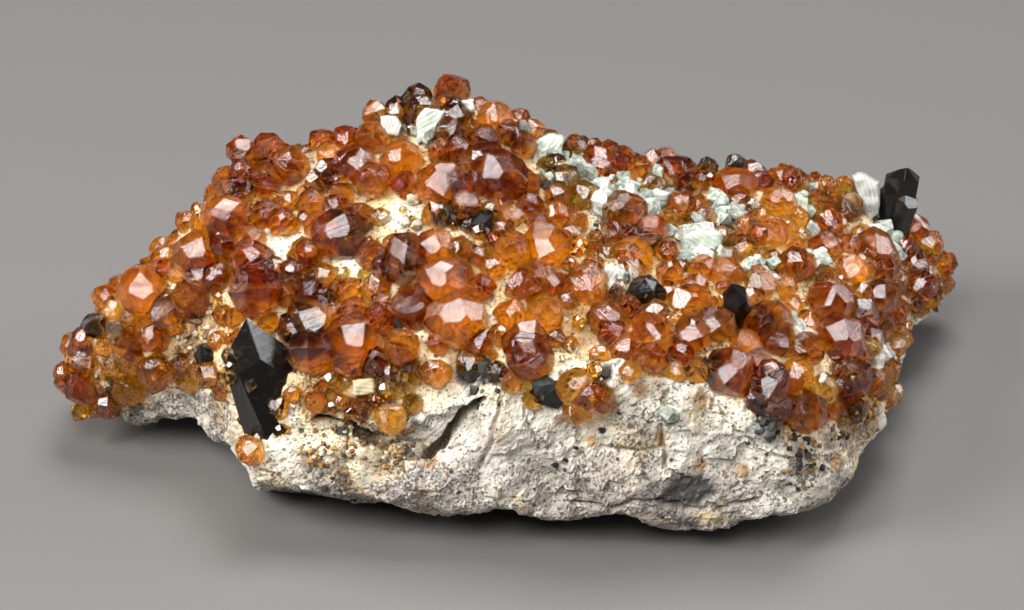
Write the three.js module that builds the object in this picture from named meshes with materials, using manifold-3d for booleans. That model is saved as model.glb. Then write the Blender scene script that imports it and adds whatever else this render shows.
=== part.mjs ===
// Garnet in matrix: garnets grown over a pale feldspar plate, with smoky quartz crystals and
// feldspar blades between them. Millimetres, +Z up. The bare rock face looks along -Y, the crystals
// cover the upper side, and the specimen rests on the flat cut under the plate.
import * as THREE from 'three';
import { ConvexGeometry } from 'three/addons/geometries/ConvexGeometry.js';
import { mergeVertices } from 'three/addons/utils/BufferGeometryUtils.js';
import Module from 'manifold-3d';

const wasm = await Module();
wasm.setup();

// Clearance between a crystal and what it grows on, and the middle of the footprint, which becomes
// the origin.
const GAP = 0.3;
const FOOTPRINT_MIDDLE = [0, 27.1];

// Crystals are placed by where they show from one standpoint, in pixels of a 1024 x 610 frame.
const VIEW_DISTANCE = 420;
const VIEW_ELEVATION = 30;
const VIEW_TARGET = [0, 28, 15.3];
const VIEW_CENTRE = [512, 305];
const PIXELS_PER_MM = 9;

// The plate, as sections across X. Each ring runs round the section in [y, z]: under the front,
// front edge, bulge, ledge, notch, lip, two points up the slope, rim, back and heel.
const STATIONS = [
  [-48.8, [27.5, 4.4], [25.5, 5], [25, 5.8], [25, 6.8], [25.3, 7.8], [26, 8.6],
    [27, 9.2], [28.3, 9.5], [30, 9.3], [32.5, 7.5], [31, 4.8]],
  [-45.5, [27, 3], [23.8, 4], [23, 6.4], [23, 8.8], [23.4, 11], [24, 12.6],
    [25.2, 14.2], [27, 15], [30, 15], [35, 10.5], [33.5, 3.8]],
  [-40, [27, 2.4], [22.5, 4], [21.6, 7.6], [21.8, 10.8], [22.1, 13.2], [22.8, 15.2],
    [24.2, 17.3], [26.5, 18.5], [30, 18.5], [38, 12.5], [35.5, 3]],
  [-35, [28, 1.8], [21.3, 4.8], [20.4, 8.8], [20.3, 12.2], [20.6, 15], [21.5, 17.5],
    [24, 21], [27.5, 23.3], [32, 24.2], [41, 15.5], [38.5, 2]],
  [-31, [24, 1], [15.5, 5.4], [14.8, 9.5], [15, 12.5], [15.4, 14.8], [16.2, 17],
    [20.5, 21.5], [27, 25.5], [35, 28], [44, 17], [42, 0.6]],
  [-27.8, [14, 0], [4.6, 6.4], [4, 8.8], [4.4, 10.8], [6.5, 11.6], [8, 13.5],
    [13.5, 18.5], [23, 24.7], [36, 29], [46, 17.5], [44, 0]],
  [-23, [13, 0], [3, 6.8], [2.6, 9], [3, 12.2], [6.8, 12.2], [7.2, 13.8],
    [12, 18.5], [22, 25.2], [36, 30], [46.5, 18], [45, 0]],
  [-17, [12, 0], [2.2, 6], [2.1, 8.6], [2.8, 12], [7, 12], [6.2, 13.8],
    [11, 19], [21.5, 26.5], [35.5, 32.6], [47, 19], [45.5, 0]],
  [-12, [11.5, 0], [2.2, 5.4], [2, 7.8], [3, 10.8], [6.5, 10.9], [4.6, 14],
    [8.5, 20], [21, 28.6], [36, 35.2], [47, 20], [46, 0]],
  [-7, [11, 0], [2.2, 5.2], [2, 7.6], [2.8, 10.2], [4.8, 10.8], [2.6, 17],
    [8, 23], [21, 30.4], [37, 36.4], [47.5, 20], [46, 0]],
  [-1, [10.5, 0], [2, 4.9], [1.8, 8], [1.6, 12], [1.9, 15.5], [2.8, 20],
    [9.5, 24.3], [22, 29.2], [38, 33.4], [48, 18], [46, 0]],
  [6, [9.5, 0], [1.4, 4], [1.1, 8], [1.2, 12], [1.8, 15.5], [3, 21],
    [11, 24], [24, 27.2], [39.5, 29.6], [48.5, 16], [46.5, 0]],
  [14, [9.5, 0], [0.9, 4.5], [0.8, 8], [1, 13], [1.4, 17], [2.4, 21.8],
    [11.5, 23], [25.5, 25], [41, 26.4], [49, 15], [47, 0]],
  [21, [8.5, 0], [0.9, 3.4], [0.7, 8], [0.9, 12.5], [1.3, 16.5], [2.2, 20.6],
    [10.5, 22], [26, 23.2], [43, 24], [50, 14], [47.5, 0]],
  [27, [10.5, 0], [1.2, 4.4], [1.1, 7.2], [1.3, 10.5], [1.9, 13.8], [2.8, 17],
    [9.5, 20.5], [26, 22], [44.8, 22.8], [50.5, 13], [48, 0]],
  [32.5, [13, 0], [3, 5], [2.8, 6.8], [2.9, 8.8], [3.3, 11], [4, 13.4],
    [10, 17.6], [26, 20.5], [46.5, 21], [51.5, 12], [49, 0]],
  [37, [19, 0.3], [9.5, 6.6], [9.1, 7.8], [9.1, 9], [9.4, 10.3], [9.8, 11.7],
    [14.5, 15.2], [28, 18.5], [47.5, 19], [52, 11], [50, 0.3]],
  [40, [26, 1], [16, 6.8], [15.7, 7.8], [15.8, 8.8], [16.2, 9.7], [16.8, 10.6],
    [21, 13.5], [31, 16.8], [48.5, 17.4], [52.5, 10], [51, 0.8]],
  [42, [33, 1.8], [26, 6.2], [25.8, 7.1], [25.9, 8], [26.2, 8.9], [26.8, 9.8],
    [30, 12.3], [37, 15], [49, 15.8], [53, 9.3], [51.4, 1.3]],
  [44, [40, 2.2], [35.6, 5.8], [35.4, 6.6], [35.6, 7.4], [36, 8.3], [36.7, 9.2],
    [39, 11.4], [43, 13.6], [49.4, 14.4], [53.4, 8.6], [51.8, 1.8]],
  [47, [45, 2.8], [41.4, 5.6], [41.2, 6.4], [41.4, 7.1], [41.8, 7.9], [42.4, 8.7],
    [44, 10.2], [46.5, 11.6], [50.2, 11.9], [53.6, 7.6], [52.2, 2.4]],
  [49.4, [48, 3.8], [45.6, 5.3], [45.5, 5.9], [45.7, 6.4], [46, 7], [46.6, 7.6],
    [47.7, 8.4], [49.2, 9], [51.1, 9], [53.2, 6.7], [52, 3.8]],
  [51, [49.5, 5], [49, 5.4], [48.9, 5.7], [49, 6], [49.2, 6.3], [49.5, 6.6],
    [50, 6.9], [50.7, 7.1], [51.4, 7], [52.1, 6], [51.4, 5]],
];
const SECTION_STEP = 3.6;
const RING_STEPS = [2, 1, 1, 1, 2, 2, 2, 3, 3, 3, 1];

// Lumps in the rock: how far they stand out, how wide they are, and the height over which they
// fade in above the flat cut.
const LUMPS = [[0.7, 17], [0.45, 9]];
const LUMP_FADE = 3;

// Garnets seen from the standpoint: [across, down, diameter in mm].
const GARNETS = {
  left_lobe: [
    [71, 380, 3.3], [85, 388, 4], [128, 390, 3.3], [155, 372, 4.2], [153, 334, 3.8], [145, 292, 5.6],
    [170, 315, 4], [190, 300, 4.2], [197, 255, 5.1], [108, 404, 2.9], [107, 298, 3.1], [84, 342, 3.1],
  ],
  left_rim: [
    [242, 152, 3.3], [268, 150, 3.6], [290, 165, 3.8], [268, 175, 3.3], [225, 218, 4.9], [268, 217, 3.6],
    [282, 225, 3.3], [312, 205, 3.3], [225, 245, 3.3], [250, 240, 3.3], [252, 262, 4.2], [305, 253, 3.3],
    [373, 138, 3.8], [358, 165, 4], [373, 180, 4], [358, 222, 3.8], [340, 235, 5.6], [320, 225, 3.3],
    [347, 140, 3.1], [330, 157, 2.7],
  ],
  centre_left: [
    [258, 290, 5.6], [290, 290, 3.8], [308, 290, 3.3], [315, 322, 5.8], [300, 330, 4.4], [312, 350, 5.3],
    [380, 318, 3.3], [353, 345, 6.4], [402, 347, 3.8], [415, 305, 4.4],
  ],
  peak: [
    [452, 93, 3.8], [422, 113, 4], [455, 115, 3.3], [495, 118, 4], [508, 135, 3.3], [484, 142, 3.3],
    [450, 133, 3.6], [487, 158, 3.8], [497, 178, 6.4], [440, 185, 4.9], [402, 160, 4.4], [465, 205, 3.3],
    [375, 113, 2.7], [418, 98, 2.9], [398, 110, 2.7],
  ],
  centre: [
    [408, 255, 4.9], [436, 248, 4], [513, 250, 4], [546, 248, 5.1], [443, 282, 5.1], [536, 283, 4.9],
    [456, 320, 5.8], [416, 310, 3.8], [510, 315, 3.3], [543, 318, 4], [525, 343, 4.4], [530, 358, 4.4],
  ],
  right_rim: [
    [598, 165, 4], [565, 180, 3.3], [525, 185, 3.3], [585, 196, 3.3], [672, 177, 4.4], [682, 207, 3.3],
    [624, 215, 5.1], [650, 232, 3.8], [633, 255, 4], [575, 148, 2.7], [650, 163, 2.7],
  ],
  centre_right: [
    [632, 275, 3.3], [588, 285, 4.4], [727, 275, 3.6], [690, 307, 4.9], [607, 320, 4], [627, 350, 3.3],
    [655, 338, 4.9], [652, 358, 3.3], [715, 325, 4], [690, 335, 4], [577, 388, 4], [598, 398, 3.4],
    [577, 410, 2.9],
  ],
  far_right: [
    [735, 187, 4.4], [796, 183, 3.3], [778, 203, 3.8], [818, 206, 3.6], [825, 248, 3.6], [850, 207, 3.3],
    [795, 265, 3.8], [757, 285, 3.8], [852, 270, 3.3], [913, 266, 3.6], [920, 285, 3.6], [872, 252, 4.7],
    [930, 245, 3.1], [946, 263, 2.7], [917, 228, 2.9], [776, 180, 2.7], [896, 222, 2.7],
  ],
  right_front: [
    [830, 303, 5.1], [770, 325, 4.9], [838, 340, 5.4], [866, 335, 3.8], [806, 351, 3.8], [797, 375, 3.3],
    [730, 372, 5.1], [757, 365, 3.3], [768, 387, 4.9], [775, 407, 3.6], [823, 390, 3.3], [852, 378, 4.2],
    [805, 411, 4.4], [862, 315, 3.6], [878, 298, 4], [890, 312, 3.3], [745, 345, 3.3], [875, 383, 2.9],
  ],
  front_ledge: [
    [250, 450, 2.7],
  ],
};

// Garnets that wrap over the rim and the two ends, where the standpoint doesn't show them.
const REAR_COUNT = 24;
const REAR_SPAN = [-46, 49.5];
const REAR_DEPTH = 9;
const REAR_SIZES = [3, 4.8];

// A garnet from this size up is a trapezohedron, and a smaller one a rhombic dodecahedron.
const TRAPEZOHEDRON_FROM = 4.9;
const SUNK_SHARE = 0.42;
const GOLDEN = [0.618034, 0.754878, 0.56984];

// Smoky quartz prisms: base and tip as [across, down, y], width, roll in degrees, how much of the
// length the pyramid takes, and how far its point is off the middle.
const QUARTZ = {
  smoky_quartz_large: { base: [281, 438, 8.5], tip: [249, 318, 11.5],
    width: 7.8, roll: 47, point: 0.3, lean: 0 },
  smoky_quartz_rear: { base: [891, 212, 47.5], tip: [904, 171, 48],
    width: 4.2, roll: 20, point: 0.3, lean: 0.1 },
  smoky_quartz_centre: { base: [646, 312, 16.5], tip: [641, 280, 15],
    width: 3.5, roll: 5, point: 0.3, lean: 0 },
  smoky_quartz_small: { base: [736, 312, 14], tip: [732, 287, 12],
    width: 2.8, roll: 30, point: 0.35, lean: 0.1 },
  smoky_quartz_left: { base: [216, 372, 19], tip: [204, 346, 16.5],
    width: 2.8, roll: 15, point: 0.35, lean: 0 },
  smoky_quartz_lobe: { base: [96, 330, 27], tip: [88, 322, 21], width: 2, roll: 40, point: 0.4, lean: 0 },
  smoky_quartz_rim: { base: [541, 158, 37], tip: [539, 141, 36],
    width: 2.1, roll: 0, point: 0.4, lean: 0 },
  clear_quartz_lobe: { base: [120, 334, 27], tip: [111, 325, 20], width: 2, roll: 10, point: 0.5, lean: 0 },
};

// Feldspar blades and blocks: outline in the view, and how far they stand out of the rock.
const FELDSPAR = {
  feldspar_blade_peak: { outline: [[417, 146], [414, 120], [424, 106], [446, 110], [443, 132]], stand: 1.6 },
  feldspar_block_rim: { outline: [[380, 135], [379, 116], [398, 113], [403, 126], [400, 137]], stand: 1.6 },
  feldspar_block_peak: { outline: [[457, 113], [459, 100], [474, 99], [476, 113]], stand: 2 },
  feldspar_plates_rim: { outline: [[530, 176], [532, 142], [548, 132], [566, 136], [563, 152], [540, 178]],
    stand: 2.2 },
  feldspar_blade_striped: { outline: [[598, 213], [599, 180], [610, 177], [612, 205], [606, 214]],
    stand: 1.6 },
  feldspar_blade_mint: { outline: [[612, 203], [616, 184], [630, 178], [642, 184], [634, 198]], stand: 1.2 },
  feldspar_plate_silver: { outline: [[638, 213], [642, 194], [656, 187], [672, 192], [668, 205], [650, 216]],
    stand: 1.4 },
  feldspar_plate_centre: { outline: [[680, 262], [679, 236], [700, 227], [724, 232], [722, 246], [700, 262]],
    stand: 1.6 },
  feldspar_plate_white: { outline: [[600, 277], [600, 270], [613, 261], [620, 274], [607, 301]], stand: 1.8 },
  feldspar_arc: { outline: [[738, 267], [752, 259], [768, 266], [778, 284], [770, 288], [752, 274]],
    stand: 0.9 },
  feldspar_plate_far: { outline: [[715, 222], [718, 205], [736, 206], [733, 222]], stand: 1.6 },
  feldspar_block_far: { outline: [[794, 221], [797, 195], [809, 196], [808, 222]], stand: 1.6 },
  feldspar_pillar: { outline: [[852, 176], [862, 171], [879, 181], [882, 193], [880, 216], [868, 223],
    [860, 202], [855, 188]], stand: 1.8 },
  feldspar_blade_long: { outline: [[866, 224], [880, 221], [894, 240], [904, 250], [894, 253], [868, 240]],
    stand: 1.2 },
  feldspar_plate_bright: { outline: [[805, 262], [812, 256], [822, 262], [816, 276], [806, 274]],
    stand: 1.6 },
  feldspar_fan: { outline: [[783, 324], [790, 321], [806, 332], [801, 342], [786, 343]], stand: 1.5 },
  feldspar_block_edge: { outline: [[870, 350], [885, 344], [893, 358], [884, 364], [875, 362]], stand: 1.6 },
  feldspar_block_ledge: { outline: [[351, 379], [376, 377], [376, 394], [353, 398]], stand: 1 },
};
// The number of garnet groups that are nodes, and the smallest step kept in an outline.
const CLUSTER_COUNT = 32;
const FINEST = 0.15;

const BLADE_ROOT = 4;
const BLADE_TAPER = 0.86;

const FINISH = {
  feldspar: { color: 0xd8d2c2, roughness: 0.85, metalness: 0 },
  blade: { color: 0xcfd6c8, roughness: 0.6, metalness: 0 },
  quartz: { color: 0x1b1a19, roughness: 0.2, metalness: 0 },
  garnet: { color: 0xa4461a, roughness: 0.18, metalness: 0 },
};

const radians = THREE.MathUtils.degToRad;

function toSolid(geometry) {
  const bare = geometry.clone();
  bare.deleteAttribute('normal');
  bare.deleteAttribute('uv');
  const merged = mergeVertices(bare, 1e-4);
  return new wasm.Manifold(new wasm.Mesh({
    numProp: 3,
    vertProperties: new Float32Array(merged.attributes.position.array),
    triVerts: new Uint32Array(merged.index.array),
  }));
}

function toGeometry(solid) {
  const mesh = solid.getMesh();
  const geometry = new THREE.BufferGeometry();
  geometry.setAttribute('position', new THREE.BufferAttribute(mesh.vertProperties, 3));
  geometry.setIndex(new THREE.BufferAttribute(mesh.triVerts, 1));
  return geometry;
}

// The plate.

// Section rings between two stations are straight mixes of the two.
function sections() {
  const rows = [];
  for (let s = 0; s < STATIONS.length - 1; s += 1) {
    const [x0, ...ring0] = STATIONS[s];
    const [x1, ...ring1] = STATIONS[s + 1];
    const steps = Math.max(1, Math.round((x1 - x0) / SECTION_STEP));
    for (let i = 0; i < steps; i += 1) {
      const share = i / steps;
      const ring = ring0.map(([y, z], k) => [
        THREE.MathUtils.lerp(y, ring1[k][0], share),
        THREE.MathUtils.lerp(z, ring1[k][1], share),
      ]);
      rows.push({ x: THREE.MathUtils.lerp(x0, x1, share), ring });
    }
  }
  const [x, ...ring] = STATIONS[STATIONS.length - 1];
  rows.push({ x, ring });
  return rows;
}

// Each side of a ring is split into its steps.
function splitRing({ x, ring }) {
  const points = [];
  ring.forEach(([y0, z0], k) => {
    const [y1, z1] = ring[(k + 1) % ring.length];
    for (let i = 0; i < RING_STEPS[k]; i += 1) {
      const share = i / RING_STEPS[k];
      points.push(new THREE.Vector3(
        x,
        THREE.MathUtils.lerp(y0, y1, share),
        THREE.MathUtils.lerp(z0, z1, share),
      ));
    }
  });
  return points;
}

// Lumps are products of crossed waves.
function lumpHeight({ x, y, z }) {
  const fade = THREE.MathUtils.smoothstep(z, 0.2, LUMP_FADE);
  const waves = LUMPS.map(([height, width]) => {
    const k = 2 * Math.PI / width;
    const broad = Math.sin(k * (x + 0.4 * z) + 1) * Math.sin(k * (1.1 * y - 0.3 * x) + 2);
    const cross = Math.sin(1.25 * k * (z + 0.35 * y) + 0.5) * Math.cos(0.77 * k * x);
    return height * (broad + 0.6 * cross);
  });
  return fade * (waves[0] + waves[1]);
}

// The lofted skin, closed at both ends by a fan, with its lumps pushed out along its normals and
// then the whole skin grown by an even amount.
function plateGeometry(grow) {
  const rows = sections().map(splitRing);
  const around = rows[0].length;
  const points = rows.flat();
  const index = [];
  for (let r = 0; r < rows.length - 1; r += 1) {
    for (let k = 0; k < around; k += 1) {
      const next = (k + 1) % around;
      const a = r * around + k;
      const b = r * around + next;
      const c = a + around;
      const d = b + around;
      index.push(a, c, b, b, c, d);
    }
  }
  [0, rows.length - 1].forEach((row, end) => {
    const middle = new THREE.Vector3();
    rows[row].forEach((p) => middle.add(p));
    points.push(middle.divideScalar(around));
    for (let k = 0; k < around; k += 1) {
      const a = row * around + k;
      const b = row * around + ((k + 1) % around);
      index.push(...(end === 0 ? [a, b, points.length - 1] : [b, a, points.length - 1]));
    }
  });
  const geometry = new THREE.BufferGeometry().setFromPoints(points);
  geometry.setIndex(index);
  pushOut(geometry, (p) => (p.z < 0.01 ? 0 : lumpHeight(p)));
  flattenBase(geometry);
  if (grow > 0) {
    pushOut(geometry, () => grow);
  }
  return geometry;
}

function pushOut(geometry, heightAt) {
  geometry.computeVertexNormals();
  const position = geometry.attributes.position;
  const normal = geometry.attributes.normal;
  const p = new THREE.Vector3();
  const n = new THREE.Vector3();
  for (let i = 0; i < position.count; i += 1) {
    p.fromBufferAttribute(position, i);
    n.fromBufferAttribute(normal, i);
    p.addScaledVector(n, heightAt(p));
    position.setXYZ(i, p.x, p.y, p.z);
  }
}

// Nothing reaches below the cut.
function flattenBase(geometry) {
  const position = geometry.attributes.position;
  for (let i = 0; i < position.count; i += 1) {
    position.setZ(i, Math.max(position.getZ(i), 0));
  }
}

// The standpoint, and rays from it.

const elevation = radians(VIEW_ELEVATION);
const look = new THREE.Vector3(0, Math.cos(elevation), -Math.sin(elevation));
const up = new THREE.Vector3(0, Math.sin(elevation), Math.cos(elevation));
const eye = new THREE.Vector3(...VIEW_TARGET).addScaledVector(look, -VIEW_DISTANCE);
const focal = PIXELS_PER_MM * VIEW_DISTANCE;

function viewRay(across, down) {
  return look.clone()
    .addScaledVector(new THREE.Vector3(1, 0, 0), (across - VIEW_CENTRE[0]) / focal)
    .addScaledVector(up, (VIEW_CENTRE[1] - down) / focal)
    .normalize();
}

// The point seen at a place in the view, at a given y.
function pointAtY(across, down, y) {
  const ray = viewRay(across, down);
  return eye.clone().addScaledVector(ray, (y - eye.y) / ray.y);
}

// Skips lists of triangles whose box the ray misses, so that a cast stays quick.
function makeCaster(geometry) {
  const flat = geometry.toNonIndexed().attributes.position;
  const triangles = [];
  for (let i = 0; i < flat.count; i += 3) {
    const corners = [0, 1, 2].map((k) => new THREE.Vector3().fromBufferAttribute(flat, i + k));
    triangles.push(corners);
  }
  return (origin, direction) => {
    const ray = new THREE.Ray(origin, direction);
    let best = null;
    const hit = new THREE.Vector3();
    triangles.forEach(([a, b, c]) => {
      if (ray.intersectTriangle(a, b, c, true, hit)) {
        const distance = hit.distanceTo(origin);
        if (!best || distance < best.distance) {
          const normal = new THREE.Vector3().subVectors(b, a).cross(new THREE.Vector3().subVectors(c, a));
          best = { distance, point: hit.clone(), normal: normal.normalize() };
        }
      }
    });
    return best;
  };
}

const plateSkin = plateGeometry(0);
const castPlate = makeCaster(plateSkin);

// Where a place in the view meets the rock. A place just off the rock's outline takes the depth of
// the nearest rock below or beside it.
const OUTLINE_SEARCH = [[0, 0], [0, 1], [1, 0], [-1, 0], [0, -1], [1, 1], [-1, 1]];
const OUTLINE_STEP = 4;
const OUTLINE_REACH = 10;
function rockAt(across, down) {
  for (let reach = 0; reach <= OUTLINE_REACH; reach += 1) {
    for (const [sx, sy] of OUTLINE_SEARCH) {
      const shift = reach * OUTLINE_STEP;
      const ray = viewRay(across + sx * shift, down + sy * shift);
      const hit = castPlate(eye, ray);
      if (hit) {
        const wanted = viewRay(across, down);
        return {
          point: eye.clone().addScaledVector(wanted, hit.distance),
          normal: hit.normal,
          ray: wanted,
        };
      }
    }
  }
  throw new Error(`no rock near ${across}, ${down}`);
}

// Garnets.

// A form's corners, scaled so that its flat faces lie about one radius from its middle.
const TRAPEZOHEDRON_REACH = 1 / 0.9;
const DODECAHEDRON_REACH = 1 / 0.84;
function garnetCorners(trapezohedron) {
  const reach = trapezohedron ? TRAPEZOHEDRON_REACH : DODECAHEDRON_REACH;
  const corners = [];
  for (const s of [1, -1]) {
    corners.push([s, 0, 0], [0, s, 0], [0, 0, s]);
    for (const t of [1, -1]) {
      if (trapezohedron) {
        corners.push([s * 2 / 3, t * 2 / 3, 0], [s * 2 / 3, 0, t * 2 / 3], [0, s * 2 / 3, t * 2 / 3]);
      }
      for (const u of [1, -1]) {
        corners.push([s / 2, t / 2, u / 2]);
      }
    }
  }
  return corners.map((c) => new THREE.Vector3(...c).multiplyScalar(reach));
}

const GARNET_FORMS = {
  true: new ConvexGeometry(garnetCorners(true)),
  false: new ConvexGeometry(garnetCorners(false)),
};

function garnetSolid(centre, diameter, number) {
  const [a, b, c] = GOLDEN.map((g) => 2 * Math.PI * ((number * g) % 1));
  const turn = new THREE.Quaternion().setFromEuler(new THREE.Euler(a, b, c));
  const size = new THREE.Vector3(1, 1, 1).multiplyScalar(diameter / 2);
  const matrix = new THREE.Matrix4().compose(centre, turn, size);
  return toSolid(GARNET_FORMS[diameter >= TRAPEZOHEDRON_FROM].clone().applyMatrix4(matrix));
}

// A garnet's centre stands above the rock by part of its radius, moved towards the standpoint so
// that it still shows at its place.
function seenGarnet([across, down, diameter]) {
  const { point, normal, ray } = rockAt(across, down);
  const facing = Math.max(0.45, -normal.dot(ray));
  const centre = point.addScaledVector(ray, -SUNK_SHARE * diameter / 2 / facing);
  return garnetSolid(centre, diameter, across + down);
}

// Rear garnets sit at places spread evenly by golden-ratio steps along the rim, and down from it.
function rearGarnets() {
  const solids = [];
  for (let i = 0; i < REAR_COUNT; i += 1) {
    const x = THREE.MathUtils.lerp(...REAR_SPAN, (i + 0.5) / REAR_COUNT);
    const drop = REAR_DEPTH * ((i * GOLDEN[0]) % 1);
    const diameter = THREE.MathUtils.lerp(...REAR_SIZES, (i * GOLDEN[1]) % 1);
    const down = new THREE.Vector3(0, -Math.cos(elevation), -Math.sin(elevation));
    const origin = new THREE.Vector3(x, 0, 0).addScaledVector(down, -100);
    const rim = rimHeight(x);
    origin.add(new THREE.Vector3(0, 45, rim - drop));
    const hit = castPlate(origin, down);
    if (hit && hit.normal.y > 0) {
      const centre = hit.point.addScaledVector(hit.normal, SUNK_SHARE * diameter / 2);
      solids.push(garnetSolid(centre, diameter, i));
    }
  }
  return solids;
}

function rimHeight(x) {
  const k = STATIONS.findIndex(([stationX]) => stationX >= x);
  const after = STATIONS[k];
  const before = STATIONS[k - 1];
  const share = (x - before[0]) / (after[0] - before[0]);
  return THREE.MathUtils.lerp(before[9][1], after[9][1], share);
}

// Quartz: a six-sided prism with a six-sided point.

const QUARTZ_SINK = 3;
const QUARTZ_CORNER_REACH = 1.06;
const SHOULDER_UNEVEN = 0.08;
function quartzSolid({ base, tip, width, roll, point, lean }, grow) {
  const foot = pointAtY(...base);
  const peak = pointAtY(...tip);
  const axis = new THREE.Vector3().subVectors(peak, foot);
  const length = axis.length();
  const turn = new THREE.Quaternion().setFromUnitVectors(new THREE.Vector3(0, 0, 1), axis.normalize());
  const radius = width / 2 * QUARTZ_CORNER_REACH + grow;
  const corners = [new THREE.Vector3(lean * radius, 0, length + grow)];
  for (let k = 0; k < 6; k += 1) {
    const angle = radians(roll + 60 * k);
    const shoulder = length * (1 - point) * (1 + SHOULDER_UNEVEN * Math.sin(2.4 * k + roll));
    const across = [radius * Math.cos(angle), radius * Math.sin(angle)];
    corners.push(new THREE.Vector3(...across, -QUARTZ_SINK - grow));
    corners.push(new THREE.Vector3(...across, shoulder));
  }
  const placed = corners.map((c) => c.applyQuaternion(turn).add(foot));
  return toSolid(new ConvexGeometry(placed));
}

// Feldspar: a tapered slab behind its outline in the view, rooted in the rock.

function bladeSolid({ outline, stand }, grow) {
  const middle = [0, 1].map((k) => outline.reduce((sum, p) => sum + p[k], 0) / outline.length);
  const { point, ray } = rockAt(...middle);
  const spread = 1 + grow * 2 * PIXELS_PER_MM / Math.max(...outline.map((p) => Math.hypot(
    p[0] - middle[0],
    p[1] - middle[1],
  )));
  const depth = point.distanceTo(eye);
  const corners = [];
  outline.forEach(([across, down]) => {
    [[-stand - grow, BLADE_TAPER], [BLADE_ROOT + grow, 1]].forEach(([shift, taper]) => {
      const place = viewRay(
        middle[0] + (across - middle[0]) * taper * spread,
        middle[1] + (down - middle[1]) * taper * spread,
      );
      corners.push(eye.clone().addScaledVector(place, (depth + shift) * ray.dot(look) / place.dot(look)));
    });
  });
  return toSolid(new ConvexGeometry(corners));
}

// Assembly. Every piece stops GAP short of the rock and of the pieces made before it.

const group = new THREE.Group();

function addMesh(name, solid, finish) {
  const geometry = toGeometry(solid.asOriginal().simplify(FINEST));
  const mesh = new THREE.Mesh(geometry, new THREE.MeshStandardMaterial(finish));
  mesh.name = name;
  mesh.position.set(-FOOTPRINT_MIDDLE[0], -FOOTPRINT_MIDDLE[1], 0);
  group.add(mesh);
}

function byVolume(solids) {
  return solids.sort((a, b) => b.volume() - a.volume());
}

let set = toSolid(plateGeometry(GAP));
let proud = null;
function place(name, makeSolid, finish) {
  const solid = byVolume(makeSolid(0).subtract(set).decompose())[0];
  addMesh(name, solid, finish);
  const grown = makeSolid(GAP);
  set = set.add(grown);
  proud = proud ? proud.add(grown) : grown;
}

Object.entries(QUARTZ).forEach(([name, crystal]) => {
  place(name, (grow) => quartzSolid(crystal, grow), FINISH.quartz);
});
Object.entries(FELDSPAR).forEach(([name, blade]) => {
  place(name, (grow) => bladeSolid(blade, grow), FINISH.blade);
});

// The largest groups of overlapping garnets are nodes of their own. The small ones are fused to the
// rock that they grow from.
const garnets = Object.values(GARNETS).flat().map(seenGarnet).concat(rearGarnets());
const groups = byVolume(wasm.Manifold.union(garnets).decompose());
groups.slice(0, CLUSTER_COUNT).forEach((cluster, i) => {
  const solid = byVolume(cluster.subtract(set).decompose())[0];
  addMesh(`garnet_cluster_${String(i + 1).padStart(2, '0')}`, solid, FINISH.garnet);
});
const fused = wasm.Manifold.union([toSolid(plateSkin), ...groups.slice(CLUSTER_COUNT)]).subtract(proud);
addMesh('feldspar_matrix', byVolume(fused.decompose())[0], FINISH.feldspar);

export default group;
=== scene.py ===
import math
import re

import bpy
import numpy as np
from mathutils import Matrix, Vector
from mathutils.bvhtree import BVHTree


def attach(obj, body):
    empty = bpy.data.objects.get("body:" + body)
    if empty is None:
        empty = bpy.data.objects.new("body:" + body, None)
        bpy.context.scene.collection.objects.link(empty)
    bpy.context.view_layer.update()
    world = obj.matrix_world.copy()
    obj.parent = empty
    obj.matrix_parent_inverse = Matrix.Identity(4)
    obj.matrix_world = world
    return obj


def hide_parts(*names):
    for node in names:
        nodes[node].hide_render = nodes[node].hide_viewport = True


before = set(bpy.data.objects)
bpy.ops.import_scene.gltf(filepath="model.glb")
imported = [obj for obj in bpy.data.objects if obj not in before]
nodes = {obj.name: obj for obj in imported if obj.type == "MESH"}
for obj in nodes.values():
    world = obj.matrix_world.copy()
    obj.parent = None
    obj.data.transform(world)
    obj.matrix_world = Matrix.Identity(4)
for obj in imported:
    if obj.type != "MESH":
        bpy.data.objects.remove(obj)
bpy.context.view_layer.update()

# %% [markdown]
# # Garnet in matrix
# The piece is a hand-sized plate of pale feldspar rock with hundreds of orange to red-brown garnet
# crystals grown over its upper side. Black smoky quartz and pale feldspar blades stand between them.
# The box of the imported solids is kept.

MM = 0.001
# Where the frame's middle lies in the specimen's own millimetres.
FOOTPRINT_MIDDLE = np.array([0.0, 27.1, 0.0])
print("solids in the frame:", len(nodes))


def to_metres(points):
    """Moves points from the specimen's own millimetres, measured from its front edge, to the frame."""
    return (np.asarray(points, float) - FOOTPRINT_MIDDLE) * MM


# %% [markdown]
# ## Standpoint
# Every crystal on the real piece is where it is, so its place is read from one standpoint and carried
# along the line of sight to the rock. A camera with a long lens stands there. The same numbers give
# the line through any place in the picture, which is how each crystal finds its seat. A place is given
# as (across, down) in the picture's own units, and a length in millimetres.

# %% Camera and lines of sight
VIEW_DISTANCE = 420.0
VIEW_ELEVATION = math.radians(30)
VIEW_TARGET = np.array([0.0, 28.0, 15.3])
VIEW_CENTRE = np.array([512.0, 305.0])
PIXELS_PER_MM = 9.0
PICTURE_WIDTH = 1024
SENSOR = 36.0

right = np.array([1.0, 0.0, 0.0])
look = np.array([0.0, math.cos(VIEW_ELEVATION), -math.sin(VIEW_ELEVATION)])
up = np.array([0.0, math.sin(VIEW_ELEVATION), math.cos(VIEW_ELEVATION)])
eye = VIEW_TARGET - look * VIEW_DISTANCE
focal = PIXELS_PER_MM * VIEW_DISTANCE

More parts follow.
